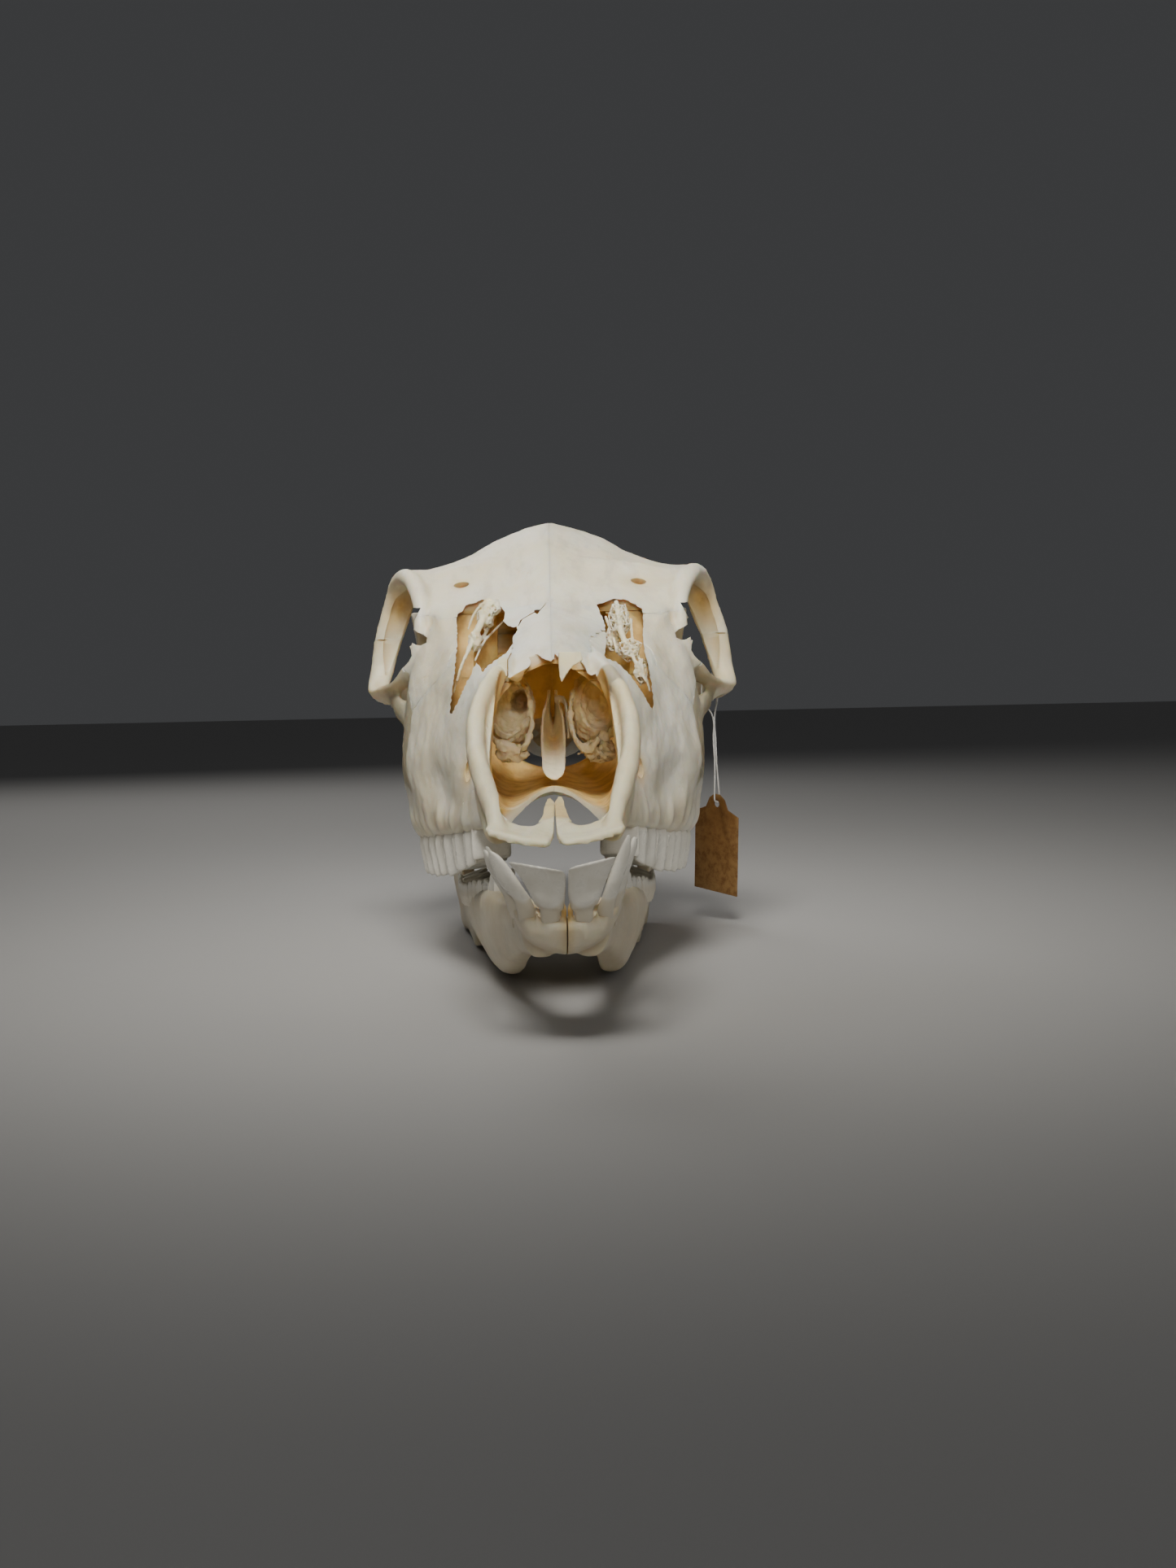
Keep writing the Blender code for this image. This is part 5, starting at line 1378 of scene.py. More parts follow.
@dataclass
class Cranium:
    """The skull without its lower jaw."""

    photo: Photograph
    stand: Stand
    voxel: float = 0.62
    form_share: float = 1.2
    nasal_share: float = 1.3
    brain_share: float = 1.5
    unevenness: Line = ((8.0, 0.6), (3.6, 0.3), (1.6, 0.12))
    face: FaceForm = FaceForm()
    braincase: BraincaseForm = BraincaseForm()
    processes: Processes = Processes()
    openings: Openings = Openings()
    sutures: Sutures = Sutures()
    orbit_hollow: Line = ((42, 153.2, 51.6), (21.5, 18.2, 15.6), (0, 0, 14))
    temple_hollow: Line = ((45, 176, 50), (14, 20, 15.5), (0, 0, 0))
    brain_hollow: Line = ((0, 219, 40), (13, 11, 12))
    orbit_groove: Line = (
        (40.2, 162.5, 64.8, 2.4, 1.6), (42.8, 168.2, 62.6, 3.1, 1.6), (44.6, 169.6, 58, 3.3, 1.5),
        (46.6, 170.7, 52, 3.0, 1.4), (47.6, 170.5, 46, 2.4, 1.3), (47.9, 169.2, 41.6, 1.6, 1.0))
    relief: tuple[Swelling, ...] = (
        Swelling((0, 172, 84), (2.2, 26, 12), 0.5, False),
        Swelling((8, 122, 56), (5, 8, 6), -0.5),
        Swelling((24.9, 142.5, 66.5), (3.6, 5, 3.6), -1.2),
        Swelling((30, 128, 42), (4.5, 7, 6), -2.6),
        Swelling((22, 78, 20), (5, 10, 8), -2.2),
        Swelling((33, 134, 56), (3, 5, 3), -0.8),
        Swelling((29.8, 128, 54), (2.2, 9, 3.5), 0.6),
        Swelling((26.6, 112, 45), (2.2, 9, 3.5), 0.6),
        Swelling((30, 102, 12), (6, 15, 4.5), -1.5),
        Swelling((36, 120, 17), (8, 13, 6), 1.3),
        Swelling((28, 96, 7), (6, 14, 4), -1.3),
        Swelling((38, 128, 5), (6, 12, 4), -0.7),
        Swelling((47, 158, 30), (6, 9, 4.5), -1.7),
        Swelling((20, 236, 44), (8, 6, 8), -0.9),
        Swelling((0, 240, 50), (5, 6, 8), 0.8, False),
        Swelling((40, 150, 33), (7, 10, 3), -0.8),
        Swelling((27, 112, 30), (5, 12, 6), -1.7),
        Swelling((37, 112, 10), (7, 12, 6), 1.0),
        Swelling((20, 60, 22), (4, 12, 3), -0.8),
        Swelling((42, 146, 24), (6, 8, 5), -1.2),
    )
    juga: tuple[float, ...] = (80, 90.5, 101, 109, 115.5, 122, 129, 136)
    jugum_radii: Station = (5, 2.0, 6)
    jugum_height: float = 0.55
    # Browner patches: those inside the orbit, under the cheek arch and along the tooth row are painted
    # shade; those at the foramina and small vessel holes are stain and painted shade in the holes.
    stains: tuple[Swelling, ...] = (
        Swelling((44, 168, 60), (7, 7, 8), 0.75),
        Swelling((34, 150, 58), (8, 12, 8), 0.5),
        Swelling((49, 160, 29), (7, 8, 3.5), 0.35),
        Swelling((24.8, 143.5, 65), (2.4, 3.4, 2.6), 0.6),
        Swelling((21.4, 80, 14.2), (2.8, 4, 3.4), 1.2),
        Swelling((25, 76, 7), (5, 8, 3), 0.22),
        Swelling((29, 104, 0.5), (9, 34, 5.5), 0.24),
    )
    finishes: tuple[tuple[str, BoneFinish], ...] = (
        ("braincase", BoneFinish("braincase bone", (0.82, 0.77, 0.62), (0.77, 0.69, 0.50))),
        ("frontal", BoneFinish("frontal bone", (0.83, 0.78, 0.63), (0.79, 0.71, 0.51))),
        ("nasal", BoneFinish("nasal bone", (0.82, 0.78, 0.65), (0.78, 0.71, 0.54))),
        ("premaxilla", BoneFinish("premaxilla bone", (0.82, 0.74, 0.52), (0.77, 0.66, 0.40))),
        # The maxilla's second tone is darker than the nasal bone's: painted shade on the lower face.
        ("maxilla", BoneFinish("maxilla bone", (0.82, 0.78, 0.65), (0.72, 0.65, 0.48))),
        ("lacrimal", BoneFinish("lacrimal bone", (0.81, 0.75, 0.60), (0.74, 0.66, 0.47))),
        ("zygomatic", BoneFinish("zygomatic bone", (0.79, 0.72, 0.53), (0.71, 0.60, 0.37))),
    )

    def outer_form(self) -> Object:
        """Models the skull solid right through, with its orbits hollowed and its bars grown on."""
        skull = Bench.fused("skull", [
            self.face.body("face", self.face.face),
            self.face.body("forehead", self.face.forehead),
            *self.braincase.pieces(),
        ], self.voxel * self.form_share, passes=7)
        for hollow in (self.orbit_hollow, self.temple_hollow):
            pair = [Bench.ball("orbit hollow", *hollow, side) for side in Side]
            Bench.carved(skull, [Bench.joined("orbit hollows", pair)])
        pieces = [skull]
        for side in Side:
            pieces += self.processes.pieces(side)
        skull = Bench.fused("skull", pieces, self.voxel, passes=3)
        cheek = self.face.face[3]
        ridges = [Swelling((Curves.at(cheek, y)[0], y, 0), self.jugum_radii, self.jugum_height)
                  for y in self.juga]
        Bench.swollen(skull, (*self.relief, *ridges))
        Bench.roughened(skull, self.unevenness)
        return skull

    def inner_hollows(self) -> list[Object]:
        """Models the nasal cavity with its way out at the back, and the hollow of the braincase."""
        nasal = [self.face.body("nasal cavity", self.face.cavity),
                 Bench.bar("choana", self.openings.choana)]
        brain = [Bench.ball("brain hollow", *self.brain_hollow),
                 Bench.bar("foramen magnum", self.openings.foramen_magnum)]
        return [Bench.fused("nasal hollow", nasal, self.voxel * self.nasal_share, passes=4),
                Bench.fused("brain hollow", brain, self.voxel * self.brain_share, passes=4)]

    def build(self) -> None:
        """Carves the skull, parts it into its bones and finishes each one."""
        skull = self.outer_form()
        LOG.info("outer form: %d faces", len(skull.data.polygons))
        skin = Bench.tree(skull)
        hollows = self.inner_hollows()
        linings = [Bench.tree(hollow) for hollow in hollows]
        grooves = [Bench.bar("orbit groove", self.orbit_groove, side) for side in Side]
        cutters = [Bench.joined("hollows", hollows + grooves)]
        Bench.carved(skull, cutters + self.openings.cutters(self.photo, self.stand))
        LOG.info("carved: %d faces", len(skull.data.polygons))
        bones = self.sutures.parted(skull)
        paints = {name: finish.material() for name, finish in self.finishes}
        for name, obj in bones.items():
            Wear.bone(obj, skin, self.stains, linings)
            Bench.delivered(obj, self.stand.skull, paints[name.split("_")[0]], Slot.BONE, name)


@dataclass
class LowerJaw:
    """The two halves of the lower jaw, without their teeth."""

    stand: Stand
    voxel: float = 0.55
    # Darker than the skull's bones: painted shade of the lower jaw, which stands lower and more in shadow.
    finish: BoneFinish = BoneFinish("jaw bone", (0.70, 0.63, 0.47), (0.62, 0.53, 0.36))
    upper_border: Line = (
        (4, 6.5, -10.5), (10, 6.6, -10), (20, 6.8, -11.4), (40, 9.0, -14.4), (60, 12.6, -15.6),
        (74, 15.4, -14.6), (100, 18.6, -16.4), (125, 21.6, -18.4), (148, 24, -18.6), (160, 25.4, -16))
    lower_border: Line = (
        (4, 3.6, -18.5), (10, 3.4, -22.3), (20, 4.4, -24.2), (40, 7.4, -25.6), (60, 10, -30),
        (74, 11.4, -34), (92, 12.4, -37), (115, 13.8, -38.3), (140, 16.4, -37.6), (160, 18.8, -36.2))
    half_thickness: Line = (
        (4, 3.6), (10, 4.3), (20, 3.8), (40, 3.0), (60, 3.6), (74, 4.2), (100, 4.7), (125, 4.9),
        (148, 4.6), (160, 3.2))
    ramus_outline: Line = (
        (146, -35.8), (146, -21), (152, -17.5), (157, -8), (160.5, 4), (165, 22), (170, 38), (175.5, 50),
        (181.5, 58.5), (186, 61), (187, 57), (183.6, 47), (183.6, 38), (187, 31), (193, 28.5),
        (200, 27.5), (202.5, 22), (201, 8), (201.5, -8), (203.5, -18), (202, -26.6), (196, -32.8),
        (187, -35.4), (176, -34.8), (162, -35.6))
    ramus_half: float = 1.9
    ramus_foot_x: float = 25.6
    ramus_lean: float = 0.15
    ramus_toe_in: float = 0.11
    condyle: Line = (
        (28.6, 197.3, 29.4, 1.8, 2.0), (32, 197, 30, 3.2, 2.3), (38, 197, 30.2, 3.2, 2.3),
        (42, 197.6, 29.8, 1.8, 1.8))
    chin: tuple[Line, ...] = (
        ((4.8, 0, -15.4), (6.5, 0, -15), (10, 0, -14.6), (18, 0, -15.4), (26, 0, -18), (34, 0, -22.4)),
        ((4.8, 2.6, -15.2), (6, 5, -15), (8, 7.6, -14.6), (10, 9.4, -13.6), (13, 11.2, -12),
         (17, 11.6, -11), (22, 10.6, -12), (28, 9.6, -13.5), (34, 8.6, -15)),
        ((4.8, 2.7, -15.9), (6, 5.2, -16.6), (8, 7.6, -16.8), (10, 9.2, -16), (13, 10.4, -15),
         (17, 10.8, -15), (22, 10.6, -16), (28, 10, -17.5), (34, 9, -19)),
        ((4.8, 1.8, -16.4), (6, 3.8, -17.8), (8, 5.6, -19), (10, 6.8, -19.2), (13, 7.4, -19.4),
         (17, 7.6, -19.6), (22, 7.8, -20.4), (28, 8, -21.4), (34, 7, -22.4)),
        ((4.8, 0, -16.5), (6, 0, -18.6), (8, 0, -20.4), (10, 0, -21.6), (13, 0, -22.4), (17, 0, -23),
         (22, 0, -23.6), (28, 0, -24.2), (34, 0, -24.2)))
    septa: Line = (
        (0.65, 5.6, -13.2, 0.75, 3.0), (6.0, 6.6, -14.4, 0.6, 1.6), (8.4, 8.6, -13.6, 0.55, 1.5),
        (10.6, 11.2, -11.9, 0.6, 1.5))
    septum_turn: Station = (20, 0, 0)
    body_from: float = 24.0
    body_rings: int = 97
    body_points: int = 64
    ramus_points: int = 160
    body_squareness: Span = (0.7, 0.8)
    ramus_foot_z: float = -36
    ramus_middle_y: float = 185
    midline_pitch: float = 1.2
    far_side: float = -60
    beyond: Line = ((-20, -60), (230, -60), (230, 80), (-20, 80))
    unevenness: Line = ((7.0, 0.5), (1.6, 0.14))
    # Browner along the chin's midline and along the sockets of the front teeth.
    stains: tuple[Swelling, ...] = (
        Swelling((0, 8, -15), (1.3, 9, 8), 0.75, False),
        Swelling((6, 6, -13.2), (7, 4, 1.4), 0.5),
    )
    mental_hole: Line = ((13, 40, -18.6, 1.3, 1.0), (7.5, 36, -19, 1.0, 1.0))
    symphysis: float = 0.14
    relief: tuple[Swelling, ...] = (
        Swelling((31, 182, -14), (5, 14, 14), -0.8),
        Swelling((31, 176, 20), (5, 7, 22), -0.7),
        Swelling((24, 190, -34), (6, 10, 5), 0.7),
        Swelling((17, 100, -26), (6, 40, 3), 0.4),
        Swelling((3.4, 7, -17.4), (1.3, 4, 2.6), 0.4),
        Swelling((7.2, 9, -17), (1.2, 3, 2.4), 0.35),
    )

    def body(self, side: Side) -> Object:
        """Grows the long lower part of one half."""
        rings = []
        turns = np.linspace(0, 2 * math.pi, self.body_points, endpoint=False)
        breadth, height = self.body_squareness
        across = np.sign(np.cos(turns)) * np.abs(np.cos(turns)) ** breadth
        upward = np.sign(np.sin(turns)) * np.abs(np.sin(turns)) ** height
        for y in np.linspace(self.body_from, self.upper_border[-1][0], self.body_rings):
            top, bottom = Curves.on_line(self.upper_border, y), Curves.on_line(self.lower_border, y)
            half, = Curves.at(self.half_thickness, y)
            ring = (top + bottom) / 2 + (top - bottom) / 2 * upward[:, None]
            ring[:, 0] += across * half
            rings.append(ring * (side.sign, 1, 1))
        return Bench.grow("jaw body", rings)

    def ramus(self, side: Side) -> Object:
        """Models the thin upright plate behind the teeth, leaning out and back."""
        outline = [(y, z, 0) for y, z in self.ramus_outline]
        rounded = Curves.through(outline, self.ramus_points, closed=True)[:, :2]
        plate = Bench.prism("ramus", rounded, -self.ramus_half, self.ramus_half, "x")
        places = Bench.points(plate)
        places[:, 0] += self.ramus_foot_x + (places[:, 2] - self.ramus_foot_z) * self.ramus_lean
        places[:, 0] += (places[:, 1] - self.ramus_middle_y) * self.ramus_toe_in
        Bench.moved(plate, places * (side.sign, 1, 1))
        if side is Side.RIGHT:
            plate.data.flip_normals()
        return plate

    def half(self, side: Side, paint: Material) -> None:
        """Models and finishes one half.

        Args:
            side: The side that it is for.
            paint: Its finish.
        """
        name = f"mandible_{side.word}"
        obj = Bench.fused(name, [
            self.body(side),
            self.ramus(side),
            Bench.bar("jaw condyle", self.condyle, side),
            FaceForm().body("chin", self.chin),
            *(Bench.ball("septum", (x, y, z), (r, r, tall), self.septum_turn, side, fineness=3)
              for x, y, z, r, tall in self.septa),
        ], self.voxel, passes=4)
        Bench.swollen(obj, self.relief)
        Bench.roughened(obj, self.unevenness)
        skin = Bench.tree(obj)
        outline = Curves.frayed(self.beyond, self.midline_pitch, 0.0, SEED)
        cutters = [Bench.prism("other side", outline, self.far_side, self.symphysis, "x", side),
                   Bench.bar("mental hole", self.mental_hole, side)]
        obj = Bench.largest(Bench.carved(obj, cutters))
        Wear.bone(obj, skin, self.stains)
        obj.name = name + "_bone"
        Bench.delivered(obj, self.stand.jaw, paint, Slot.BONE, name)

    def build(self) -> None:
        """Models both halves."""
        paint = self.finish.material()
        for side in Side:
            self.half(side, paint)


@dataclass(frozen=True)
class CheekTeeth:
    """A row of cheek teeth: each tooth is made of lobes, with ribs outside and a worn hollow on top."""

    name: str
    teeth: Line
    outer_line: Line
    root_line: Line
    tip_line: Line
    lean: Line
    upper: bool
    step: float = 2.4
    rib: float = 1.6
    root_depth: float = 4.5
    voxel: float = 0.34
    ribs: Line = ((0.52, 0.2, 1.0), (0.0, 0.1, 0.55), (1.0, 0.08, 0.25))
    profile: Line = (
        (0.0, 0.8, 0), (0.25, 0.9, 0), (0.42, 1.0, 0), (0.7, 1.0, 0), (0.93, 0.99, 0), (1.0, 0.93, 0),
        (1.0, 0.8, 0.1), (1.0, 0.66, 1.1), (1.0, 0.5, 1.5), (1.0, 0.28, 1.2), (1.0, 0.1, 1.0))
    heart: float = 0.42
    cusp: float = 1.3
    most_worn: float = 1.2
    lobe_wear: float = 0.5
    overlap: float = 0.3
    narrowing: float = 0.06
    rise_length: float = 12

    def lobe(self, front: float, back: float, breadth: float, wear: float, side: Side) -> Object:
        """Grows one lobe of a tooth.

        Args:
            front: Where it starts along the row.
            back: Where it ends.
            breadth: How broad it is from its outer to its inner face.
            wear: How much of its tip is worn away.
            side: The side that it is for.

        Returns:
            The lobe.
        """
        down = -1.0 if self.upper else 1.0
        span = back - front
        shares = np.linspace(0, 1, 25)
        ribs = sum(np.exp(-((shares - at) / width) ** 2) * height for at, width, height in self.ribs)
        outer = [(front + span * s, -self.rib * r) for s, r in zip(shares, ribs)]
        inner = [(front + span * (1 - math.cos(a)) / 2, breadth * (1 + math.sin(a)) / 2)
                 for a in np.linspace(0, math.pi, 21)[1:-1]]
        outline = outer + inner[::-1]
        middle = (front + back) / 2
        rings = []
        centre = breadth * self.heart
        for rise, scale, sink in self.profile:
            ring = []
            for y, inward in outline:
                share = (y - front) / span
                across = centre + (inward - centre) * scale
                along = middle + (y - middle) * scale
                cusp = self.cusp * abs(2 * share - 1) ** 1.5 * (1 - min(1.0, max(0.0, across / breadth)))
                x, = Curves.at(self.outer_line, y)
                lean = Curves.at(self.lean, y)[0] * rise
                root = Curves.at(self.root_line, y)[0] - down * self.root_depth
                slope = self.step * across / breadth if self.upper else self.step * (1 - across / breadth)
                tip = Curves.at(self.tip_line, y)[0] - down * (slope + wear + cusp + sink)
                ring.append(((x - across - lean) * side.sign, along, root + (tip - root) * rise))
            rings.append(np.array(ring))
        return Bench.grow("lobe", rings)

    def build(self, side: Side, stand: Matrix, paint: Material) -> None:
        """Models and finishes the row of one side.

        Args:
            side: The side.
            stand: The way into the model's frame.
            paint: The enamel.
        """
        draw = random.Random(SEED + int(self.upper))
        rows = []
        for front, back, breadth, lobes in self.teeth:
            wear = draw.uniform(0.0, self.most_worn)
            length = (back - front) / lobes
            made = []
            for k in range(int(lobes)):
                start = front + length * k - (self.overlap if k else 0.0)
                narrower = breadth * (1 - self.narrowing * k)
                worn = wear + draw.uniform(0, self.lobe_wear)
                made.append(self.lobe(start, front + length * (k + 1), narrower, worn, side))
            rows.append(Bench.fused("tooth", made, self.voxel, passes=2))
        obj = Bench.joined("row", rows)
        points = Bench.points(obj)
        ys = np.linspace(points[:, 1].min(), points[:, 1].max(), 60)
        roots = np.interp(points[:, 1], ys, [Curves.at(self.root_line, y)[0] for y in ys])
        down = -1.0 if self.upper else 1.0
        rise = Wear.RISE_AT_GUM + (points[:, 2] - roots) * down / self.rise_length
        Bench.measured(obj, "rise", np.clip(rise, 0, 1))
        Wear.enamel(obj, f"{self.name}_{side.word}", stand, paint)


@dataclass(frozen=True)
class FrontTooth:
    """One front tooth of the lower jaw, as a fan: rings between its inner and outer edge."""

    name: str
    rings: Line
    neck: float
    tilt: float = 0.0
    ring_count: int = 34
    ring_points: int = 48
    squareness: float = 0.8
    midline_clear: float = 0.16

    def build(self, side: Side) -> Object:
        """Grows the tooth through its rings (inner x, outer x, y, z, thickness, turn in degrees)."""
        samples = Curves.through(self.rings, self.ring_count)
        turns = np.linspace(0, 2 * math.pi, self.ring_points, endpoint=False)
        wide = np.sign(np.cos(turns)) * np.abs(np.cos(turns)) ** self.squareness
        deep = np.sin(turns)
        rings = []
        for inner, outer, y, z, thickness, turn in samples:
            angle = math.radians(turn)
            half = (outer - inner) / 2 / math.cos(angle)
            bulge = thickness / 2 * deep
            x = (inner + outer) / 2 + half * wide * math.cos(angle) + bulge * math.sin(angle)
            depth = y + half * wide * math.sin(angle) - bulge * math.cos(angle)
            level = z + self.tilt * half * wide
            rings.append(np.column_stack((np.maximum(x, self.midline_clear) * side.sign, depth, level)))
        return Bench.grow(self.name, rings)


@dataclass
class FrontTeeth:
    """The eight front teeth, four on each side, which differ a little as the photograph shows."""

    stand: Stand
    voxel: float = 0.28
    neck_reach: float = 1.5
    neck_curve: float = 0.25
    neck_curve_most: float = 6.0
    rise_length: float = 6
    left: tuple[FrontTooth, ...] = (
        FrontTooth("first incisor", (
            (1.6, 4.8, 10.5, -19, 2.4, 0), (1.5, 5.1, 6.7, -15.5, 2.6, 0),
            (1.45, 5.3, 5.6, -13.4, 2.7, 2), (1.3, 5.4, 5.0, -12.5, 3.0, 3),
            (0.8, 6.1, 4.4, -11.9, 3.6, 3), (0.5, 6.7, 3.7, -10.6, 3.8, 4),
            (0.25, 7.2, 3.0, -9.1, 3.5, 6), (0.16, 7.8, 2.0, -7.5, 3.0, 8),
            (0.16, 8.6, 0.6, -5.6, 2.4, 10), (0.16, 9.4, -0.8, -3.9, 1.7, 12),
            (0.3, 9.8, -1.7, -3.0, 1.1, 13), (0.9, 9.6, -2.0, -2.6, 0.6, 13)), -12.2, 0.2),
        FrontTooth("second incisor", (
            (6.4, 9.2, 12, -16.5, 2.4, 20), (6.2, 9.4, 8, -13, 2.6, 22),
            (7.2, 9.9, 6.6, -10.2, 2.8, 24), (8.2, 11.0, 5.0, -7.0, 2.6, 26),
            (9.4, 12.0, 3.6, -3.6, 2.2, 28), (10.6, 12.7, 2.4, -0.6, 1.5, 30),
            (11.6, 12.7, 1.4, 1.4, 0.9, 30), (12.0, 12.5, 1.0, 2.3, 0.5, 30)), -11),
        FrontTooth("third incisor", (
            (8.2, 10.6, 14, -15, 2.2, 35), (8.8, 11.2, 10.5, -10.8, 2.3, 38),
            (10.0, 12.2, 8.8, -6.6, 2.1, 40), (11.6, 13.4, 7.4, -2.8, 1.7, 42),
            (13.0, 14.2, 6.4, 0.4, 1.0, 44), (13.5, 14.0, 6.1, 1.6, 0.5, 44)), -9.6),
        FrontTooth("canine", (
            (9.2, 11.2, 18, -14, 2.0, 45), (9.8, 12.2, 14.5, -9.0, 2.0, 48),
            (11.0, 13.2, 12.4, -4.4, 1.8, 50), (12.8, 14.4, 11, -0.8, 1.3, 52),
            (14.0, 14.6, 10.2, 1.2, 0.6, 52)), -7.8),
    )
    right: tuple[FrontTooth, ...] = (
        FrontTooth("first incisor", (
            (1.6, 4.8, 10.5, -19, 2.4, 0), (1.5, 5.2, 6.7, -15.4, 2.6, 0),
            (1.4, 5.4, 5.6, -13.4, 2.7, 2), (1.2, 5.6, 5.0, -12.5, 3.0, 3),
            (0.7, 6.3, 4.4, -11.9, 3.6, 3), (0.5, 7.0, 3.7, -10.6, 3.8, 4),
            (0.35, 7.7, 3.0, -9.1, 3.5, 6), (0.25, 8.5, 2.0, -7.5, 3.0, 8),
            (0.2, 9.7, 0.6, -5.8, 2.4, 10), (0.2, 10.9, -0.8, -4.3, 1.7, 12),
            (0.4, 11.5, -1.7, -3.6, 1.1, 13), (1.2, 11.2, -2.0, -3.2, 0.6, 13)), -12.2, 0.17),
        FrontTooth("second incisor", (
            (6.6, 9.6, 12, -16.5, 2.4, 20), (6.3, 9.9, 8, -13, 2.6, 22),
            (7.2, 10.6, 6.8, -10.4, 2.8, 24), (8.3, 12.2, 5.8, -8.6, 2.7, 26),
            (9.9, 14.0, 4.6, -5.9, 2.3, 28), (11.7, 15.0, 3.6, -3.1, 1.7, 30),
            (13.4, 15.3, 3.0, -1.2, 1.1, 30), (14.7, 15.4, 2.7, -0.4, 0.5, 30)), -11),
        FrontTooth("third incisor", (
            (8.6, 11.2, 14, -15, 2.2, 35), (9.2, 12.2, 10.5, -10.8, 2.3, 38),
            (11.2, 14.2, 8.8, -7, 2.1, 40), (13.4, 15.8, 7.4, -3.6, 1.7, 42),
            (15.2, 16.3, 6.4, -1.2, 1.0, 44), (15.9, 16.4, 6.1, -0.3, 0.5, 44)), -9.6),
        FrontTooth("canine", (
            (9.6, 11.6, 18, -14, 2.0, 45), (10.4, 12.8, 14.5, -9.4, 2.0, 48),
            (12.4, 14.6, 12.4, -5, 1.8, 50), (14.2, 15.9, 11, -1.8, 1.3, 52),
            (15.5, 16.1, 10.2, 0.0, 0.6, 52)), -8.2),
    )

    def build(self, paint: Material) -> None:
        """Models and finishes the front teeth of both sides."""
        for side in Side:
            teeth = []
            for tooth in getattr(self, side.word):
                teeth.append(Bench.fused(tooth.name, [tooth.build(side)], self.voxel, passes=2))
                points = Bench.points(teeth[-1])
                middle = np.median(points[np.abs(points[:, 2] - tooth.neck) < self.neck_reach, 0])
                curve = np.minimum((points[:, 0] - middle) ** 2, self.neck_curve_most) * self.neck_curve
                rise = Wear.RISE_AT_GUM + (points[:, 2] - tooth.neck - curve) / self.rise_length
                Bench.measured(teeth[-1], "rise", np.clip(rise, 0, 1))
            obj = Bench.joined("front teeth", teeth)
            Wear.enamel(obj, f"front_teeth_{side.word}", self.stand.jaw, paint)


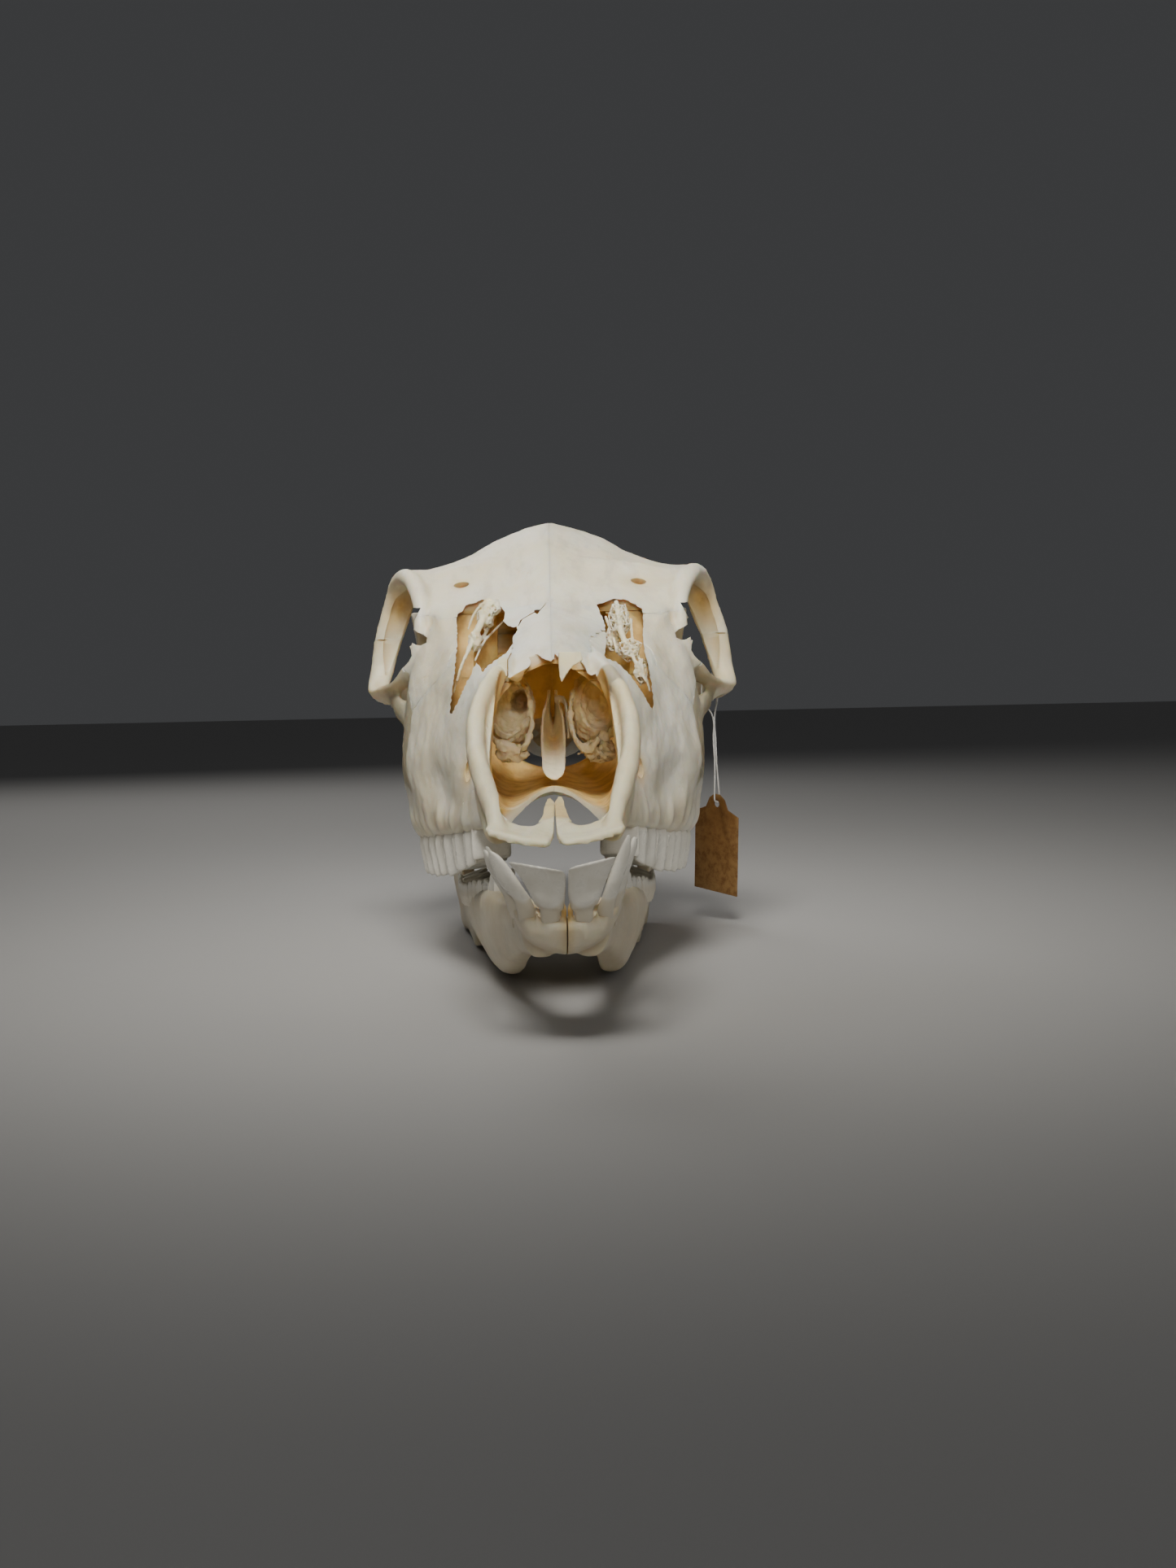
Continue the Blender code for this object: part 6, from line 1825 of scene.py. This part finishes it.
@dataclass
class NasalInterior:
    """The thin bones inside the nose: vomer, turbinates and the spongy bone behind the vacuities.

    Struts and the loose shard are placed by pixels of the photograph with their depth in the skull.
    """

    photo: Photograph
    stand: Stand
    voxel: float = 0.3
    sponge_voxel: float = 0.22
    # Paler than the outer bone: the thin bone's own yellowish tone, and painted light for the inside of
    # the nose.
    finish: BoneFinish = BoneFinish("inner bone", (0.90, 0.82, 0.58), (0.86, 0.72, 0.42), roughness=0.55)
    sponge_finish: BoneFinish = BoneFinish(
        "spongy bone", (0.88, 0.81, 0.60), (0.84, 0.70, 0.40), roughness=0.6)
    vomer: Line = (
        (76.6, 0.9, 11.4, 12.0), (77.6, 2.2, 12.0, 13.0), (79.5, 2.9, 13.6, 14.8), (83, 3.0, 16.4, 18.2),
        (88, 3.1, 18.4, 22.4), (94, 2.9, 19.8, 26.6), (100, 2.2, 21, 30), (106, 1.5, 22.4, 32.4),
        (114, 1.3, 24, 33.6), (130, 1.3, 26, 35))
    vomer_wall: float = 0.7
    vomer_floor: float = 1.6
    vomer_brim: float = 0.1
    vomer_rings: int = 60
    vomer_squareness: float = 0.7
    # Amber along the vomer's trough and deeper in the nose: stain and painted shade.
    vomer_stains: tuple[Swelling, ...] = (
        Swelling((0, 94, 22), (2.2, 9, 5), 0.9, False),
        Swelling((0, 120, 28), (6, 14, 12), 0.7, False),
    )
    # Amber on the turbinates, darkest at the hollow of the shell: stain and painted shade.
    shell_stains: tuple[Swelling, ...] = (
        Swelling((10, 110, 32), (9, 8, 9), 0.6),
        Swelling((8.2, 100, 31), (3, 6, 3.4), 0.7),
        Swelling((10, 92, 18), (7, 7, 3), 0.3),
    )
    vomer_unevenness: Line = ((1.5, 0.3),)
    shell_unevenness: Line = ((2.2, 1.7), (0.9, 0.35))
    sponge_unevenness: Line = ((0.8, 0.3),)
    scrap_thickness: float = 0.8
    lump_thickness: float = 0.5
    vomer_wing: Line = (
        (0.6, 104, 31.8, 0.5, 0.9), (3.0, 102, 31.4, 0.5, 1.1), (3.7, 100, 27, 0.5, 1.5),
        (3.9, 99, 21.5, 0.4, 1.1))
    shell: Line = ((10.9, 99.5, 29.4), (6.2, 12.5, 9.6))
    bowl_right: Line = ((10.6, 86.5, 30.2), (5.3, 10, 8.2))
    bowl_left: Line = ((11.2, 85.5, 30.4), (5.0, 8.4, 7.8))
    shell_hole: Line = ((8.2, 97, 31), (2.5, 9, 3.0))
    shell_tear: Line = ((12.4, 89, 37.5), (2.6, 5, 2.0))
    lip_right: Line = (
        (16.4, 92, 24, 0.7, 1.1), (14.6, 89.5, 21.4, 0.6, 1.4), (11.5, 88.4, 19.6, 0.6, 1.5),
        (8.4, 88.4, 19.0, 0.6, 1.3), (6.2, 89.5, 21.4, 0.6, 1.0), (5.3, 91, 26, 0.6, 0.8),
        (5.6, 92.5, 31, 0.6, 0.8), (6.8, 94, 35.5, 0.5, 0.8))
    lip_left: Line = (
        (16.8, 92, 24, 0.7, 1.1), (14, 89.5, 22.4, 0.6, 1.5), (11.4, 88.4, 21.4, 0.6, 1.7),
        (8.6, 88.2, 18.8, 0.6, 1.5), (6.2, 89, 20.4, 0.6, 1.2), (4.6, 91, 25.4, 0.6, 0.8),
        (4.4, 93, 30.6, 0.6, 0.8), (6.4, 95, 36, 0.5, 0.8))
    scrap_right: Line = ((-10.4, 92, 17.9), (3.9, 3.4, 1.9))
    scrap_left: Line = ((11.9, 92, 18.0), (4.3, 3.6, 2.5))
    struts_right: tuple[Line, ...] = (
        ((601, 738, 127, 0.9), (597, 752, 124, 1.1), (590, 768, 122, 1.0), (581, 786, 120, 0.8),
         (574, 803, 118, 0.6)),
        ((575, 801, 118, 0.5), (568, 816, 116, 0.4), (561, 838, 114, 0.4)),
        ((588, 770, 124, 0.4), (576, 796, 121, 0.35), (566, 822, 118, 0.3), (557, 852, 114, 0.3)),
        ((604, 741, 129, 0.6), (606, 758, 128, 0.5), (600, 772, 126, 0.5), (590, 788, 124, 0.5)),
        ((618, 764, 131, 0.3), (606, 776, 128, 0.35), (594, 790, 123, 0.35), (584, 812, 118, 0.3)),
        ((592, 742, 127, 0.4), (582, 756, 127, 0.4), (575, 774, 126, 0.3)))
    struts_left: tuple[Line, ...] = (
        ((757, 739, 127, 0.6), (760, 756, 124, 0.9), (763, 776, 122, 0.9), (771, 798, 120, 0.6)),
        ((744, 758, 129, 0.4), (752, 778, 126, 0.5), (758, 802, 122, 0.4)),
        ((775, 760, 127, 0.4), (778, 790, 124, 0.4), (789, 818, 118, 0.4), (799, 850, 114, 0.3)),
        ((768, 790, 122, 0.5), (780, 812, 118, 0.5), (794, 838, 115, 0.3)))
    lumps_right: Line = (
        (604, 747, 127, 2.6, 2.2, 2.2), (597, 760, 125, 2.3, 2.6, 3.0), (584, 788, 121, 1.7, 2.0, 2.6))
    lumps_left: Line = (
        (761, 764, 125, 2.8, 3.0, 4.4), (773, 799, 121, 3.2, 3.0, 3.0), (789, 826, 118, 1.9, 2.4, 3.2),
        (752, 786, 127, 2.0, 2.0, 3.0))
    shard: Line = (
        (686, 801), (714, 801), (716, 811), (706, 817), (699, 824), (694, 833), (690, 841), (687, 825))
    shard_depth: Span = (61.5, 62.5)
    shard_fray: Span = (3, 0.6)

    def vomer_piece(self, paint: Material) -> None:
        """Models the vomer: a trough whose front end is a rounded tongue, with a wing at its top."""
        rings = []
        wall, square = self.vomer_wall, self.vomer_squareness
        turns = np.linspace(-0.5 * math.pi, 0.5 * math.pi, 21)
        for y in np.linspace(self.vomer[0][0], self.vomer[-1][0], self.vomer_rings):
            half, low, high = Curves.at(self.vomer, y)
            deep = high - low
            hollow = deep - wall * self.vomer_floor
            outer = [(half * math.sin(a), high - deep * math.cos(a) ** square) for a in turns]
            inner = [((half - wall) * math.sin(a), high + self.vomer_brim - hollow * math.cos(a) ** square)
                     for a in turns[::-1]]
            rings.append(np.array([(x, y, z) for x, z in outer + inner]))
        obj = Bench.fused("vomer_bone", [Bench.grow("vomer", rings), Bench.bar("wing", self.vomer_wing)],
                          self.voxel, passes=2)
        Bench.roughened(obj, self.vomer_unevenness)
        Wear.bone(obj, None, self.vomer_stains)
        Bench.delivered(obj, self.stand.skull, paint, Slot.INNER_BONE, "vomer")

    def turbinate(self, side: Side, paint: Material) -> None:
        """Models the shell on the side wall of the nose, with its ragged lip and a spongy scrap below.

        Args:
            side: The side that it is for.
            paint: Its finish.
        """
        shell = Bench.ball("shell", *self.shell, side=side)
        cutters = [getattr(self, "bowl_" + side.word), self.shell_tear]
        if side is Side.RIGHT:
            cutters.append(self.shell_hole)
        Bench.carved(shell, [Bench.ball("hollow", *cutter, side=side) for cutter in cutters])
        lip = Bench.bar("lip", getattr(self, "lip_" + side.word), side, step=1.0, sides=16)
        scrap = Bench.sponge("scrap", *getattr(self, "scrap_" + side.word), self.scrap_thickness, SEED)
        obj = Bench.fused(f"turbinate_{side.word}_bone", [shell, lip, scrap], self.voxel, passes=2)
        Bench.roughened(obj, self.shell_unevenness)
        Wear.bone(obj, None, self.shell_stains)
        Bench.delivered(obj, self.stand.skull, paint, Slot.INNER_BONE, f"turbinate_{side.word}")

    def spongy_bone(self, side: Side, paint: Material) -> None:
        """Models the struts and lumps of spongy bone that show through the vacuity of one side.

        Args:
            side: The side that it is for.
            paint: Its finish.
        """
        pieces = []
        for strut in getattr(self, "struts_" + side.word):
            line = tuple((*self.photo.place(u, v, y, self.stand), r, r) for u, v, y, r in strut)
            pieces.append(Bench.bar("strut", line, step=0.8, sides=10))
        for number, (u, v, y, *radii) in enumerate(getattr(self, "lumps_" + side.word)):
            centre = tuple(self.photo.place(u, v, y, self.stand))
            pieces.append(Bench.sponge("lump", centre, radii, self.lump_thickness, SEED + 7 * number))
        obj = Bench.fused(f"spongy_bone_{side.word}", pieces, self.sponge_voxel, passes=1)
        Bench.roughened(obj, self.sponge_unevenness)
        Wear.bone(obj, None)
        Bench.delivered(obj, self.stand.skull, paint, Slot.INNER_BONE)

    def build(self) -> None:
        """Models every bone inside the nose."""
        paint, spongy = self.finish.material(), self.sponge_finish.material()
        self.vomer_piece(paint)
        for side in Side:
            self.turbinate(side, paint)
            self.spongy_bone(side, spongy)
        fine = Curves.frayed(self.shard, *self.shard_fray, SEED)
        rings = [np.array([self.photo.place(u, v, y, self.stand) for u, v in fine])
                 for y in self.shard_depth]
        shard = Bench.fused("nasal_shard", [Bench.grow("shard", rings)], self.voxel, passes=1)
        Wear.bone(shard, None)
        Bench.delivered(shard, self.stand.skull, paint, Slot.INNER_BONE)


@dataclass
class Tag:
    """The card tag on its doubled thread, hung on the cheek arch at the animal's left."""

    stand: Stand
    height: float = 31.0
    breadth: float = 17.5
    thickness: float = 0.5
    top: Station = (50.2, 189.5, 3.6)
    turn_degrees: float = 42.0
    swing_degrees: float = -6.0
    lean_degrees: float = 8.0
    hole_drop: float = 3.0
    hole_radius: float = 1.1
    strand: float = 0.5
    strand_gap: float = 0.9
    loop_radius: float = 1.1
    arch_top: Station = (48.3, 187.4, 40.6)
    shoulder: Line = ((1.0, -6.2), (0.5, -4.4), (0.34, -1.4), (0.12, 0))
    edge_fray: Span = (0.8, 0.03)
    bevel: float = 0.07
    worn_from: float = 0.9
    worn_fade: float = 0.1
    loop_lift: float = 0.45
    over: Line = ((0.5, 0.9, 0.35), (1.9, 0.8, -0.9), (2.5, 0.6, -4), (2.3, 0.5, -8))
    down: Line = ((1.1, 0.7, -13), (1.3, 1.2, -20), (1.6, 1.7, -28))
    under: Line = ((-2.1, 0.4, -8), (-2.5, 0, -4), (-1.9, -0.4, -0.9), (-0.5, -0.5, 0.35))

    @property
    def hang(self) -> Matrix:
        """The card's own place and turn in the skull's frame."""
        turns = (("Z", self.turn_degrees), ("Y", self.swing_degrees), ("X", self.lean_degrees))
        made = Matrix.Translation(self.top)
        for axis, degrees in turns:
            made = made @ Matrix.Rotation(math.radians(degrees), 4, axis)
        return made

    def card(self) -> Object:
        """Models the card with its clipped shoulders, its hole and a slight bow."""
        half = self.breadth / 2
        shoulder = [(half * across, down) for across, down in self.shoulder]
        outline = [(-half, -self.height), (half, -self.height)] + shoulder
        outline += [(-across, down) for across, down in reversed(shoulder)]
        fine = Curves.frayed(outline, *self.edge_fray, SEED)
        obj = Bench.prism("tag_card_piece", fine, -self.thickness / 2, self.thickness / 2, "x")
        hole = [(x, 0, -self.hole_drop, self.hole_radius, self.hole_radius) for x in (-3, 3)]
        Bench.carved(obj, [Bench.bar("hole", hole)], solver="EXACT")
        return Bench.modified(obj, "BEVEL", width=self.bevel, segments=2, limit_method="ANGLE",
                              angle_limit=0.9)

    def build(self) -> None:
        card = self.card()
        points = Bench.points(card)
        half, tall = self.breadth / 2, self.height / 2
        edge = np.maximum(np.abs(points[:, 1]) / half, np.abs(points[:, 2] + tall) / tall)
        Bench.measured(card, "edge", np.clip((edge - self.worn_from) / self.worn_fade, 0, 1))
        card.data.transform(self.hang)
        Bench.delivered(card, self.stand.skull, CardFinish().material(), Slot.CARD, "tag_card")
        path = self.path()
        curve = bpy.data.curves.new("tag_thread_piece", "CURVE")
        curve.dimensions = "3D"
        curve.bevel_depth = self.strand / 2 * MM
        curve.bevel_resolution = 4
        curve.resolution_u = 8
        curve.use_fill_caps = True
        spline = curve.splines.new("BEZIER")
        spline.bezier_points.add(len(path) - 1)
        for made, point in zip(spline.bezier_points, path):
            made.co = point
            made.handle_left_type = made.handle_right_type = "AUTO"
        curve.materials.append(CottonFinish().material())
        thread = bpy.data.objects.new("tag_thread_piece", curve)
        bpy.context.scene.collection.objects.link(thread)
        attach(thread, "root")
        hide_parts("tag_thread")
        length = spline.calc_length()
        LOG.info("tag_thread_piece: %.0f mm", length / MM)

    def path(self) -> np.ndarray:
        """Works out the thread's line in the model's frame, which starts and ends on the arch."""
        hole = np.array(self.hang @ Vector((0, 0, -self.hole_drop)))
        face = np.array(self.hang.to_3x3() @ Vector((1, 0, 0)))
        face[2] = 0
        face /= np.linalg.norm(face)
        middle = hole + (0, 0, self.loop_lift + self.loop_radius)
        over, down, under = (np.add(line, self.arch_top) for line in (self.over, self.down, self.under))
        down = down + face * self.strand_gap / 2
        turn = [middle + face * self.loop_radius * math.cos(a) - (0, 0, self.loop_radius * math.sin(a))
                for a in np.linspace(0, math.pi, 7)]
        back = [p - face * self.strand_gap for p in reversed(down)]
        return np.array([self.stand.skull @ Vector(p) for p in (*over, *down, *turn, *back, *under)])


@dataclass(frozen=True)
class Lamp:
    """A soft square lamp."""

    name: str
    place: Station
    size: float
    power: float
    colour: Colour
    spread_degrees: float = 180.0
    aim: Station = (0.0, 0.0, 0.06)

    def build(self) -> None:
        """Sets the lamp up, turned to its aim."""
        light = bpy.data.lights.new(self.name, "AREA")
        light.size = self.size
        light.energy = self.power
        light.color = self.colour
        light.spread = math.radians(self.spread_degrees)
        lamp = bpy.data.objects.new(self.name, light)
        lamp.location = self.place
        lamp.rotation_euler = (Vector(self.aim) - Vector(self.place)).to_track_quat("-Z", "Y").to_euler()
        bpy.context.scene.collection.objects.link(lamp)


@dataclass
class Studio:
    """A plain pale floor and soft light."""

    floor_size: float = 12.0
    floor_colour: Colour = (0.40, 0.39, 0.375)
    floor_clouds: Pattern = Pattern(0.3)
    floor_shade: Span = (0.9, 0.08)
    floor_roughness: float = 0.75
    sky: Colour = (0.55, 0.56, 0.58)
    sky_strength: float = 0.09
    lamps: tuple[Lamp, ...] = (
        Lamp("key light", (-0.04, -0.36, 0.52), 0.2, 0.45, (1.0, 0.985, 0.95), 55, (0, 0.03, 0.1)),
        Lamp("front light", (0.02, -0.62, 0.2), 0.12, 0.034, (1.0, 0.97, 0.92), 24, (0, 0, 0.085)),
        Lamp("side light", (0.8, -0.35, 0.5), 0.5, 0.9, (0.95, 0.97, 1.0)),
        Lamp("back light", (-0.3, 0.8, 0.7), 0.5, 2.6, (1.0, 0.99, 0.97)),
    )

    def build(self) -> None:
        """Sets the floor, the sky and the lamps."""
        Bench.clear()
        bpy.ops.mesh.primitive_plane_add(size=self.floor_size)
        floor = bpy.context.object
        floor.name = "floor"
        paint = Paint("pale floor")
        darker, share = self.floor_shade
        shade = paint.noise(self.floor_clouds) * share
        colour = paint.mixed(shade, self.floor_colour, tuple(darker * c for c in self.floor_colour))
        floor.data.materials.append(paint.finished(Base_Color=colour, Roughness=self.floor_roughness))
        world = bpy.data.worlds.new("studio")
        world.use_nodes = True
        background = world.node_tree.nodes["Background"]
        background.inputs["Color"].default_value = (*self.sky, 1.0)
        background.inputs["Strength"].default_value = self.sky_strength
        bpy.context.scene.world = world
        for lamp in self.lamps:
            lamp.build()


UPPER_ROW = CheekTeeth(
    name="upper_teeth",
    teeth=((75.5, 85.2, 9.5, 1), (85.6, 95.8, 11, 1), (96.2, 106, 12, 1), (106.4, 118.4, 13.8, 2),
           (118.8, 132.4, 14.6, 2), (132.8, 146, 13.6, 2)),
    outer_line=((74, 19.2), (85, 22.2), (96, 26), (106, 29.6), (118, 33.8), (130, 36.6), (147, 37)),
    root_line=((74, 0.4), (95, -1.6), (115, -3.4), (135, -4.8), (150, -4.8)),
    tip_line=((74, -9.2), (85, -11), (100, -13), (118, -15), (130, -15.4), (150, -13)),
    lean=((74, 0.3), (84, 0.8), (120, 2.6), (150, 2.6)),
    upper=True)
LOWER_ROW = CheekTeeth(
    name="lower_teeth",
    teeth=((73, 80.6, 5.6, 1), (81, 90.4, 6.8, 1), (90.8, 101, 7.4, 1), (101.4, 113.4, 8.6, 2),
           (113.8, 127, 9.2, 2), (127.4, 146.5, 9.0, 3)),
    outer_line=((72, 15.6), (85, 18.2), (96, 20.2), (106, 22.2), (118, 24.6), (130, 26.4), (148, 27.4)),
    root_line=((72, -14.8), (100, -16.4), (125, -18.4), (148, -18.6), (160, -16)),
    tip_line=((72, -7.6), (85, -9.5), (100, -11.5), (118, -13.5), (135, -14.1), (150, -13.5)),
    lean=((72, 0), (150, 0)),
    upper=False, step=1.6, rib=0.5)


def main() -> None:
    """Builds the camera, the thread, the bones, the teeth and the studio."""
    logging.basicConfig(level=logging.INFO, format="%(name)s %(relativeCreated)6d ms: %(message)s")
    photo = Photograph()
    stand = Stand()
    photo.camera()
    Tag(stand).build()
    Cranium(photo, stand).build()
    LowerJaw(stand).build()
    enamel = EnamelFinish("enamel").material()
    for side in Side:
        UPPER_ROW.build(side, stand.skull, enamel)
        LOWER_ROW.build(side, stand.jaw, enamel)
    FrontTeeth(stand).build(enamel)
    NasalInterior(photo, stand).build()
    Studio().build()


if __name__ == "__main__":
    main()
